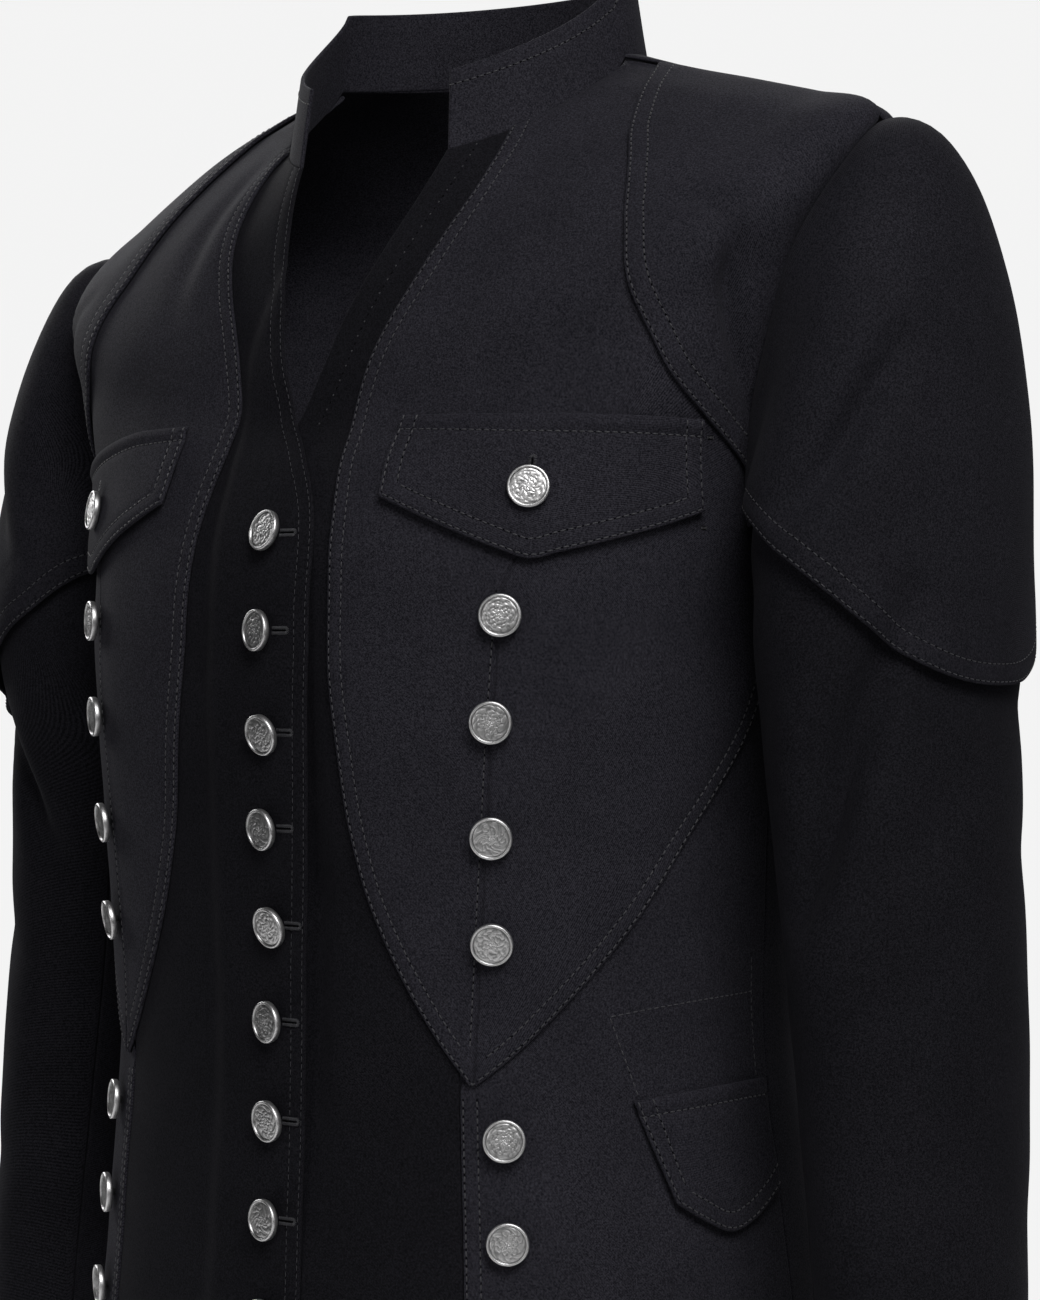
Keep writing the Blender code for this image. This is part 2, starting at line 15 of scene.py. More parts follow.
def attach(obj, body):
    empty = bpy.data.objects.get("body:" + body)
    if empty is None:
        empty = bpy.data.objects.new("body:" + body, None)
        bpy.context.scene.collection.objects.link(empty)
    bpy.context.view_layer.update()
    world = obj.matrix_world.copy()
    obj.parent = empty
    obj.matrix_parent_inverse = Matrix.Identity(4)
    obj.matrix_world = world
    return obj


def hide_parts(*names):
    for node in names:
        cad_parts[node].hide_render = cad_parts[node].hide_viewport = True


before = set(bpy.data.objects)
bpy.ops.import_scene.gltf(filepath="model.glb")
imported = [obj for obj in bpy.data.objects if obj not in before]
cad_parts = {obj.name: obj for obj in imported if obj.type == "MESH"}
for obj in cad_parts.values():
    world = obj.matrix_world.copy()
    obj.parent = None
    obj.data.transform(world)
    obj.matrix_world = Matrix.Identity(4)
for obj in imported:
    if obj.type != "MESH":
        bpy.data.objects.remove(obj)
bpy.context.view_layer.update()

MM = 0.001
LAYER = 2.4  # a lapped piece stands this far off the one below it
OVERLAY_OUT = 2.7  # how far the shoulder overlays stand off what they lie on
UNDERLAP = 3.0  # degrees that the lower piece runs on under a lapped edge
SIDE_SEAM = 96.0
SHOULDER_SEAM = 90.0
HEM = -575
COLLAR_LINE = -52  # level of the seam between body and collar
COLLAR_HEIGHT = 36
COLLAR_LEAN = 0.16  # inward, for each millimetre up
SHIELD_TIP = -441
SHIELD_CORNER = -238  # where the shield's outer edge meets the side seam
SHOULDER_DROP = 34  # the wearer's right shoulder is carried lower
SLEEVE_DROP = 24  # and so the right sleeve hangs lower and a little further out
SLEEVE_SHIFT = 2
ARMPIT_RISE = (12, 8, 4)  # its armpit drops less than that, by these at its first rows

BUTTON = 17.8  # 28 ligne
BUTTON_EDGE = 3.0
SHANK = 2.2
SHANK_RADIUS = 1.6


def table(columns, *rows):
    return [columns(*row) for row in rows]


# ---------------- the body's surface
# A place on it is an angle around the body, in degrees from centre front (plus is the wearer's
# left, 180 is centre back), and a level: the height at which that ring crosses centre front.
# Rings are level up to the armholes and then lean up over the shoulders to the neck.
Ring = namedtuple("Ring", "level front half side side_z back back_z square arch")
RINGS = table(
    Ring,
    (-575, -152, 170, -6, -575, 122, -575, 2.30, 1.5),
    (-510, -148, 163, -8, -510, 112, -510, 2.30, 1.5),
    (-430, -144, 155, -10, -430, 96, -430, 2.35, 1.5),
    (-350, -147, 157, -12, -350, 100, -350, 2.40, 1.5),
    (-265, -150, 162, -12, -265, 110, -265, 2.50, 1.5),
    (-215, -144.5, 166, -8, -222, 113, -208, 2.50, 1.5),
    (-188, -134.5, 176, -4, -160, 112, -150, 2.45, 1.5),
    (-164, -122, 198, 0, -85, 106, -100, 2.35, 1.5),
    (-140, -117.5, 213, 2, -38, 98, -62, 2.20, 1.4),
    (-120, -112.5, 184, 2, -27, 90, -40, 2.10, 1.3),
    (-100, -106.5, 149, 1, -18, 81, -22, 2.05, 1.2),
    (-78, -98, 112, 0, -8, 71, -6, 2.00, 1),
    (-52, -87, 82, 0, 0, 62, 6, 2.00, 0.75),
)


# ---------------- the sleeve's surface
# A place on a sleeve is a turn around the arm (0 outside, 90 front, 180 inside) and a step down
# it: 0 at the armhole seam, then one for each row of SLEEVE.
Armhole = namedtuple("Armhole", "turn around level")
ARMHOLE = table(
    Armhole,
    (0, 90, -142.5), (30, 78, -148), (60, 72.2, -159), (90, 73.2, -173), (120, 77, -191.5),
    (150, 84, -210), (180, 96, -220), (210, 107, -209), (240, 110, -191), (270, 109.5, -174),
    (300, 107.5, -160), (330, 102, -149),
)
Cuff = namedtuple("Cuff", "x y z wide deep tilt")
SLEEVE = table(
    Cuff,
    (204, 3, -139, 95, 54, 70),
    (213, 2, -156, 86, 64, 63),
    (218, 1, -181, 74, 70, 53),
    (221, 1, -213, 60, 72, 40),
    (220, 2, -249, 50, 71, 22),
    (220, 3, -297, 46, 66, 5),
    (225, 2, -370, 45, 60, 0),
    (232, -1, -440, 43, 56, 0),
    (239, -7, -520, 40, 50, 0),
    (246, -14, -615, 37, 44, 0),
)

# ---------------- outlines
# Each is the angle around the body of an edge, at falling or rising levels.
Mark = namedtuple("Mark", "level around")
RIGHT_FRONT_EDGE = table(
    Mark,
    (-575, 8.7), (-480, 9), (-400, 9.2), (-345, 10.2), (-250, 10.8), (-214, 9.9), (-203, 8.7),
    (-193, 6.9), (-180, 3.8), (-165, 0.2), (-152, -1.2), (-139, -2.6), (-124, -4.3), (-108, -6.4),
    (-90, -11.2), (-72, -17.5), (-60, -22.5), (-52, -27),
)
LEFT_FRONT_EDGE = table(
    Mark,
    (-575, -6), (-240, -6), (-210, -5.5), (-190, -4), (-178, -2.2), (-165, 0), (-152, 1.5),
    (-139, 3), (-124, 4.9), (-108, 8.2), (-90, 14), (-72, 22), (-60, 27.5), (-52, 31.5),
)
SHIELD_INNER = table(
    Mark,
    (-441, 35.8), (-421, 30.7), (-399, 26.1), (-372, 21.4), (-339, 17.8), (-304, 16), (-264, 14.3),
    (-234, 13.8), (-206, 12.5), (-177, 10.2), (-156, 9.2), (-138, 10.3), (-115, 16.3), (-96, 24.7),
    (-76, 37), (-63, 44.5), (-52, 50.5),
)
LAP_START, LAP_END = 7.2, 10.5  # the right front rises between these, counted to the right
SHIELD_OUTER = table(
    Mark,
    (-441, 36.9), (-430, 42), (-406, 51.2), (-371, 63.1), (-343, 71.4), (-315, 80.5), (-290, 88),
    (-262, 93), (-238, 95.9),
)
DART_TOP = -226
DART = table(
    Mark,
    (-441, 36.35), (-425, 36.8), (-354, 38.3), (-283, 39.5), (-226, 40), (-160, 43), (-100, 58),
    (-52, 70),
)
PRINCESS_SEAM = 34.3  # below the shield
OVERLAY_EDGE = table(
    Mark,
    (-197, 76), (-187, 65.2), (-177, 55.9), (-160, 47.3), (-141, 43), (-124, 47.2), (-103, 56.8),
    (-92, 63.7), (-81, 75), (-71, 90),
)
# A flap runs across from its front edge to its back edge; top and foot are levels.
Flap = namedtuple("Flap", "top_around foot_around top foot")
CHEST_FLAP = table(
    Flap,
    (17.9, 20.2, -169, -201), (23.3, 26.5, -171.3, -208), (29.3, 33, -173.9, -214.4),
    (35.2, 39, -176.5, -219.4), (39.2, 43.1, -178.1, -221.8), (43.2, 47, -179.7, -218.5),
    (47.9, 51.6, -181.5, -215.1), (53.4, 57.2, -183.4, -211.5), (58.9, 62.8, -185.2, -208.3),
    (64.3, 68.2, -186.7, -205.4),
)
HIP_FLAP = table(
    Flap,
    (61.2, 67.4, -448.6, -492), (67.7, 72.6, -446.8, -500), (74, 78.4, -445.9, -506),
    (80.6, 84, -445.1, -503), (86.8, 89, -444.7, -497), (93, 93.4, -444.6, -491),
)
# How far down the sleeve its overlay reaches, from the front of the armhole round to the back.
Hem = namedtuple("Hem", "turn step")
SLEEVE_OVERLAY_HEM = table(
    Hem,
    (-138, 1.2), (-112, 3.4), (-85, 4.5), (-50, 5.4), (0, 5.75), (50, 5.4), (71, 4.95), (86, 4.52),
    (105, 3.75), (122, 2.6), (138, 1.2),
)

# ---------------- buttons
# A button leans by turn, about a vertical axis, as its shank is pulled by the buttonhole, and its
# face tips down. Both are in degrees.
Sewn = namedtuple("Sewn", "level around turn tip", defaults=(0, 0))
FRONT_BUTTONS = table(
    Sewn,
    (-213.5, 2.4, -12, 0), (-253.7, 2.7, -16, 1), (-296.2, 3.7, -8, 12), (-336.4, 3.1, -13, 5),
    (-377.2, 4, -9, 12), (-418.1, 3.2, -14, 2), (-459.8, 3.5, -11, 9), (-501.5, 3.4, -12, 3),
    (-543, 3.4, -12, 6),
)
FLAP_BUTTON = Sewn(-199.2, 40.8)
SHIELD_BUTTONS = table(
    Sewn,
    (-246.2, 40, 0, 2), (-291.1, 39.4), (-337.8, 39.5, 0, 4), (-381.3, 39.6, 0, 7),
)
SIDE_BUTTONS = table(Sewn, (-463.4, 40.8), (-505, 40.8, 0, 4), (-546.5, 40.8, 0, 7))

# ---------------- cloth
THICK = 2.0  # a wall of doubled cloth
EDGE_ROLL = 1.0  # its edges are rounded over this far
PITCH = 4.0  # spacing of a grid's rows and columns away from its edges
FINE_PITCH = 2.8  # on the shoulder overlay, whose fold is sharp
OVERLAY_PITCH = 3.4  # on the sleeve overlay
SLEEVE_PITCH = 4.2
FLAP_PITCH = 3.5
# Distances in from an edge at which a grid has a line: a turned edge with twin stitching, a
# turned edge without, and a pressed seam.
ROLLED = (0, 0.15, 0.45, 0.8, 1.1, 1.5, 2.1, 3.0, 4.6, 6.1, 7.0, 7.9, 9.2, 11.5)
TURNED = (0, 0.15, 0.45, 0.8, 1.2, 2.2, 4.0)
PRESSED = (0, 0.15, 0.45, 0.9, 1.6, 3.0)
HIDDEN = (0, 0.3, 1.0)
FLAP_TOP = (0, 0.15, 0.45, 0.9, 1.6, 3.0, 4.6, 6.4, 7.3, 8.2, 9.6)  # where a flap is sewn down
SAMPLES = 240  # along each row of a grid, to measure it
DOWN_SAMPLES = 500  # and down it
FOLD_SAMPLES = 60  # along a fold's path
SEAM_SAMPLES = 80  # along a row of stitches that no edge guides
GROOVE = (0, 0.35, 0.8, 1.3, 2.0, 3.0, 4.6)
STITCH_DIP = 0.38
DIP_WIDTH = 0.9

# A fold is (depth, width, path): a soft trough, or a ridge where its depth is negative, along a
# path on the body (around, level) or on a sleeve (turn, step). It is deepest midway.
FOLD_REACH = 2.6  # in its widths, beyond which it moves nothing
BODY_FOLDS = {
    1: [
        (7, 5.2, [(54.6, -130), (57.2, -146), (59.6, -160), (63, -170), (67.6, -178), (73.5, -186)]),
        (-1.2, 8, [(64, -136), (67, -156), (71, -168)]),
        (5.5, 10, [(9, -236), (9.6, -300), (9.8, -370), (9.4, -440), (9, -500)]),
        (1.5, 6, [(50, -76), (43.5, -85.7), (37.4, -90.2), (31.5, -97)]),
        (1.2, 16, [(88, -265), (70, -262), (52, -268)]),
        (1.3, 14, [(92, -330), (74, -338), (56, -352)]),
        (-1, 15, [(90, -300), (66, -304)]),
        (1, 13, [(4, -352), (16, -372), (24, -398)]),
        (1.4, 12, [(150, -330), (128, -346), (104, -352)]),
        (1.2, 13, [(166, -392), (140, -384), (112, -392)]),
        (1.8, 9, [(118, -150), (122, -190), (116, -226)]),
        (1.2, 14, [(176, -96), (160, -118), (142, -132)]),
    ],
    -1: [
        (2.8, 8, [(55, -134), (58.5, -152), (64, -167), (71, -179)]),
        (1.8, 9, [(52, -72), (44, -86), (34, -104), (27, -124)]),
        (-1.2, 10, [(42, -78), (33, -96), (25, -118)]),
        (1.4, 15, [(90, -272), (68, -276), (46, -288)]),
        (1.2, 13, [(90, -342), (70, -352), (50, -362)]),
        (1.3, 12, [(154, -338), (132, -350), (106, -346)]),
        (1.1, 14, [(168, -404), (146, -398), (118, -402)]),
        (1.9, 9, [(117, -156), (121, -192), (115, -228)]),
        (1.2, 13, [(174, -104), (158, -124), (140, -136)]),
    ],
}
SLEEVE_FOLDS = {
    1: [
        (10, 7, [(40, 3.05), (58, 3.4), (72, 3.65), (90, 3.8)]),
        (-1.6, 13, [(30, 2.3), (52, 2.7), (74, 2.9)]),
        (13, 9.5, [(38, 5.1), (62.6, 5.98), (76.6, 6.37), (90.2, 6.69), (106, 6.98)]),
        (-3, 11, [(84, 5.5), (98, 5.95), (112, 6.4)]),
        (2.6, 12, [(10, 6.2), (34, 6.55), (60, 7)]),
        (2.2, 10, [(150, 5.6), (176, 5.9), (206, 5.8)]),
        (2, 11, [(148, 6.4), (176, 6.7), (214, 6.5)]),
        (2.2, 12, [(-20, 5.6), (-52, 6), (-84, 6.2)]),
        (1.8, 12, [(-30, 6.6), (-64, 6.9), (-100, 6.8)]),
        (3, 10, [(-60, 3), (-84, 3.4), (-104, 3.8)]),
        (1.6, 18, [(143, 5.9), (144, 7), (143, 8), (141, 9.4)]),
        (1.5, 14, [(20, 8.2), (60, 8.5), (100, 8.3)]),
        (1.3, 14, [(-40, 8.7), (-80, 8.9)]),
    ],
    -1: [
        (5.2, 9, [(36, 3.1), (58, 3.45), (80, 3.7)]),
        (9.5, 8.5, [(44, 5.4), (66, 5.9), (88, 6.3), (106, 6.6)]),
        (-1.5, 13, [(34, 4.6), (60, 5), (84, 5.3)]),
        (2.4, 12, [(16, 6.6), (44, 6.9), (72, 7.3)]),
        (2.2, 10, [(148, 5.8), (178, 6.1), (208, 6)]),
        (2.3, 12, [(-16, 5.8), (-48, 6.2), (-80, 6.3)]),
        (1.9, 12, [(-34, 6.8), (-66, 7.1), (-98, 7)]),
        (2.7, 10, [(-58, 3.1), (-82, 3.5), (-102, 3.9)]),
        (1.4, 14, [(24, 8.4), (62, 8.6), (98, 8.4)]),
    ],
}

WOOL = ((0.006, 0.0057, 0.0082), (0.033, 0.0318, 0.0395))  # its darkest and lightest colours
TWILL_SLANT = 28  # degrees
TWILL_SHARE = 0.15  # of the weave's relief; the rest is nap

# ---------------- stitching
STITCH_PITCH = 3.35
STITCH_LENGTH = 2.4
THREAD = 0.6  # its diameter
EDGE_ROWS = (1.3, 7.0)  # distances of twin rows in from a turned edge
FLAP_ROWS = (1.5, 8.0)
HEM_ROWS = (1.4, 8.8)
FLAP_TOP_ROW = 7.3
NECK_ROW = 12.0  # small picked stitches beside the neck edge
NECK_POINT = -178  # level at which the left front turns out to the neck
# Pocket bags stitched through the side panel, and a short row beside the side seam.
POCKET_TOP = [(57.9, -413.3), (65.3, -410.8), (76.3, -408.6), (91.2, -407.3)]
POCKET_SIDE = [(57.9, -413.3), (60.2, -430), (62.5, -447)]
SIDE_ROW = [(90.6, -392), (91.0, -418), (91.4, -444)]
FLAP_TACKS = [(66.9, -190.6), (69.4, -209.3)]
FLAP_HOLE, FRONT_HOLE = 12.0, 12.4  # lengths of the buttonholes
WORKED_PITCH = 0.6  # spacing of their stitches

FACE_RADIUS = 7.5  # of a button, inside its rim
FACE_SINK = 0.55  # below the rim
RELIEF = 0.2  # depth of its die cut lines
BUTTON_FACETS = 72  # round it
FACE_RINGS = 27
SEWN_ON = 0.3  # its shank stands this far off the cloth
HEM_STANDS_OFF = 3.0  # how far the sleeve overlay's hem springs off the sleeve
HEAD_DROP = 2.2  # how far the sleeve sinks into its seam at the armhole
SEWN_BACK = 1.2  # millimetres kept back at the armhole by the panels
SLEEVE_SEAMS = {"top": (-114, 134), "under": (134, 246)}  # turns between which each lies
OVERLAY_ENDS = (-134, 141)  # and the sleeve's overlay
SLEEVE_HEAD = 0.03  # step at which the sleeve's overlay meets them
BODY_TOP = (COLLAR_LINE - 0.1, PRESSED)  # just short of the collar's foot
FLOOR_RADIUS = 0.9  # metres, as is its level
FLOOR_LEVEL = -0.75
FLOOR_SIDES = 96

# What each piece is cut to before it is sewn: greatest width, length and area, in metres and
# square metres, and the pieces it is lapped over.
Cut = namedtuple("Cut", "width length area lies_on")


def through(keys, rows, at):
    """Values at the keys asked for, on a smooth curve through the rows."""
    keys = np.asarray(keys, float)
    rows = np.asarray(rows, float)
    column = (-1, *[1] * (rows.ndim - 1))
    step = np.diff(keys)
    slope = np.diff(rows, axis=0) / step.reshape(column)
    share = (step[1:] / (step[1:] + step[:-1])).reshape(column)
    lean = np.concatenate([slope[:1], share * slope[:-1] + (1 - share) * slope[1:], slope[-1:]])
    at = np.clip(np.asarray(at, float), keys[0], keys[-1])
    i = np.clip(np.searchsorted(keys, at, side="right") - 1, 0, len(keys) - 2)
    wide = step[i]
    f = (at - keys[i]) / wide
    if rows.ndim > 1:
        f = f[..., None]
        wide = wide[..., None]
    return (
        (2 * f**3 - 3 * f**2 + 1) * rows[i]
        + (f**3 - 2 * f**2 + f) * wide * lean[i]
        + (3 * f**2 - 2 * f**3) * rows[i + 1]
        + (f**3 - f**2) * wide * lean[i + 1]
    )


def pair(a, b):
    return np.broadcast_arrays(np.asarray(a, float), np.asarray(b, float))


def unit(v):
    return v / np.maximum(np.linalg.norm(v, axis=-1, keepdims=True), 1e-9)


def ease(f):
    """From 0 to 1 with level ends."""
    f = np.clip(f, 0, 1)
    return f * f * (3 - 2 * f)


def edge(marks, level):
    return through(*zip(*marks), level)


def dropped(p):
    """Points of the body with the right shoulder let down."""
    out = np.clip((-p[..., 0] - 90) / 120, 0, 1) ** 1.5
    up = ease((p[..., 2] + 300) / 120)
    p = p.copy()
    p[..., 2] -= SHOULDER_DROP * out * up
    return p


def skin(around, level):
    """Points of the body's surface."""
    around, level = pair(around, level)
    ring = through([r.level for r in RINGS], [r[1:] for r in RINGS], level)
    front, half, side, side_z, back, back_z, square, arch = np.moveaxis(ring, -1, 0)
    s, c = np.sin(np.radians(around)), np.cos(np.radians(around))
    n = (np.abs(s) ** square + np.abs(c) ** square) ** (1 / square)
    s, c = s / n, c / n
    ahead = c > 0
    y = side + np.where(ahead, front - side, side - back) * c
    z = side_z + np.where(ahead, level - side_z, back_z - side_z) * np.abs(c) ** arch
    return dropped(np.stack([half * s, y, z], -1))


def across(point, a, b, da, db):
    """Unit normals of a surface point(a, b), by differences."""
    return unit(np.cross(point(a + da, b) - point(a - da, b), point(a, b + db) - point(a, b - db)))


def body(around, level, out=0.0):
    """Points of the body's surface moved out along its normal."""
    around, level = pair(around, level)
    out = np.asarray(out, float)
    return skin(around, level) + across(skin, around, level, 0.25, 0.5) * out[..., None]


def armhole(turn):
    """The armhole seam of the left side as (around, level)."""
    rows = [a[1:] for a in ARMHOLE]
    keys = [a.turn for a in ARMHOLE]
    wrapped = [k + lap for lap in (-360, 0, 360) for k in keys]
    return np.moveaxis(through(wrapped, rows * 3, np.mod(turn, 360)), -1, 0)


def armhole_at(level, front=True):
    """Angle around the body of a panel's end at the armhole's front or back half.

    Over the armhole it is the shoulder seam's, and under it the side seam's.
    """
    turn = np.linspace(0, 180, 61) if front else np.linspace(360, 180, 61)
    around, height = armhole(turn)
    along = skin(*armhole(turn + 1)) - skin(*armhole(turn - 1))
    away = SEWN_BACK * unit(np.cross(along, across(skin, around, height, 0.25, 0.5)))
    east = skin(around + 0.5, height) - skin(around - 0.5, height)
    north = skin(around, height + 0.5) - skin(around, height - 0.5)
    ways = np.stack([east, north], -1)
    moved = np.array([np.linalg.lstsq(w, a, rcond=None)[0] for w, a in zip(ways, away)])
    around = around + moved[:, 0]
    height = height + moved[:, 1]
    around[0], around[-1] = SHOULDER_SEAM, SIDE_SEAM
    return np.interp(level, height[::-1], around[::-1])


def sleeve_skin(turn, step, side):
    """Points of a sleeve's surface; side is 1 on the wearer's left and -1 on the right."""
    turn, step = pair(turn, step)
    around, level = armhole(turn)
    c, s = np.cos(np.radians(turn)), np.sin(np.radians(turn))
    rows = [body(side * around, level, LAYER * (s + 1) / 2)]
    for i, cuff in enumerate(SLEEVE):
        tilt = math.radians(cuff.tilt)
        x = cuff.x + cuff.wide * c * math.cos(tilt)
        z = cuff.z + cuff.wide * c * math.sin(tilt)
        if side < 0:
            rise = ARMPIT_RISE[i] if i < len(ARMPIT_RISE) else 0
            x += SLEEVE_SHIFT
            z += rise * np.clip(-c, 0, 1) - SLEEVE_DROP
        rows.append(np.stack([side * x, cuff.y - cuff.deep * s, z], -1))
    rows = np.array([2 * rows[0] - rows[1], *rows, 2 * rows[-1] - rows[-2]])
    i = np.clip(np.floor(step).astype(int), 0, len(rows) - 4)
    f = (step - i)[..., None]
    a, b, c, d = (np.take_along_axis(rows, (i + k)[None, ..., None], 0)[0] for k in range(4))
    return b + 0.5 * f * (c - a + f * (2 * a - 5 * b + 4 * c - d + f * (3 * (b - c) + d - a)))


def following(marks):
    """An edge that follows a table."""
    return lambda level: edge(marks, level)


def inner_end(level):
    """The front's edge under the shield, and below the shield its seam to the side piece."""
    under = edge(SHIELD_INNER, level) + UNDERLAP
    lower = np.where(level > SHIELD_TIP, np.minimum(under, PRINCESS_SEAM), PRINCESS_SEAM)
    return np.where(level > SHIELD_CORNER, under, lower)


def outer_start(level):
    """The side piece's edge under the shield, and below the shield its seam to the front."""
    under = edge(SHIELD_OUTER, level) - UNDERLAP
    return np.where(level > SHIELD_TIP, np.maximum(under, PRINCESS_SEAM), PRINCESS_SEAM)


def shield_out(around, level):
    """The shield lies on the front and the side piece, and comes down to the back at its seams."""
    at_side = ease((level - SHIELD_CORNER) / 12) * ease((around - 84) / 11) * (level < -215)
    at_shoulder = ease((level + 165) / 22) * ease((around - 76) / 13)
    return LAYER * (1 - np.maximum(at_side, at_shoulder))


# ---------------- surfaces of cloth
def lengths(points, axis):
    """Running length along an axis of a grid of points, from zero."""
    step = np.linalg.norm(np.diff(points, axis=axis), axis=-1)
    run = np.cumsum(step, axis=axis)
    start = np.zeros_like(np.take(run, [0], axis=axis))
    return np.concatenate([start, run], axis=axis)


def sine_between(a, b):
    """Of the angle between two directions, kept off zero."""
    return np.clip(np.linalg.norm(np.cross(a, b), axis=1), 0.4, 1)


def trail(path, count):
    """Places along a smooth path through a few."""
    at = np.linspace(0, len(path) - 1, count)
    return through(np.arange(len(path)), np.array(path, float), at).T


def folds_at(points, trails):
    """How far folds move points of a bare surface along its normal."""
    moved = np.zeros(points.shape[:-1])
    for depth, width, line in trails:
        reach = FOLD_REACH * width
        near = np.all((points > line.min(0) - reach) & (points < line.max(0) + reach), axis=-1)
        if not near.any():
            continue
        p = points[near]
        apart = np.linalg.norm(p[:, None] - line[None], axis=-1)
        nearest = apart.argmin(1)
        share = nearest / (len(line) - 1)
        deep = 0.35 + 0.65 * np.sin(np.pi * np.clip(share, 0, 1))
        moved[near] -= depth * deep * np.exp(-((apart.min(1) / width) ** 2))
    return moved


def undulation(points):
    """Small uneven swells of worn cloth, the same for every layer."""
    x, y, z = np.moveaxis(points, -1, 0)
    return (
        0.35 * np.sin(x / 19 + 1.3 * np.sin(z / 41)) * np.sin(z / 33 + y / 47)
        + 0.22 * np.sin(x / 9.5 - z / 14 + 2 * np.sin(y / 23)) * np.sin(z / 21 - 1.1)
    )


class Surface:
    """A bare surface, with its folds, on which cloth is laid."""

    def __init__(self, bare, folds, da, db, turn=1):
        self.bare, self.da, self.db, self.turn = bare, da, db, turn
        self.trails = [(d, w, bare(*trail(path, FOLD_SAMPLES))) for d, w, path in folds]

    def at(self, a, b):
        """Bare points, outward normals and how far folds move them."""
        a, b = pair(a, b)
        points = self.bare(a, b)
        normals = across(self.bare, a, b, self.da, self.db) * self.turn
        return points, normals, folds_at(points, self.trails) + undulation(points)

    def put(self, a, b, out):
        """Points some way out from the folded surface, and outward normals."""
        points, normals, moved = self.at(a, b)
        return points + normals * (np.asarray(out) + moved)[..., None], normals


def spaced(total, left, right, most, pitch=None, count=None):
    """Places along a length: at set distances from both ends, and even between."""
    shrink = min(1, most * total / (left[-1] + right[-1]))
    left, right = np.array(left) * shrink, np.array(right) * shrink
    count = count or max(1, round((total - left[-1] - right[-1]) / pitch))
    middle = np.linspace(left[-1], total - right[-1], count + 1)
    return np.concatenate([left[:-1], middle, total - right[-2::-1]])


def rows_between(bare, a, low, high, pitch=PITCH):
    """Places down a grid, measured at a, between two ends given as (place, steps beside it)."""
    b = np.linspace(low[0], high[0], DOWN_SAMPLES)
    run = lengths(bare(a, b), 0)
    return np.interp(spaced(run[-1], low[1], high[1], 0.8, pitch), run, b)


def read_off(run, values, at):
    """Values part way along a line of known running length."""
    return np.array([np.interp(at, run, column) for column in values.T])


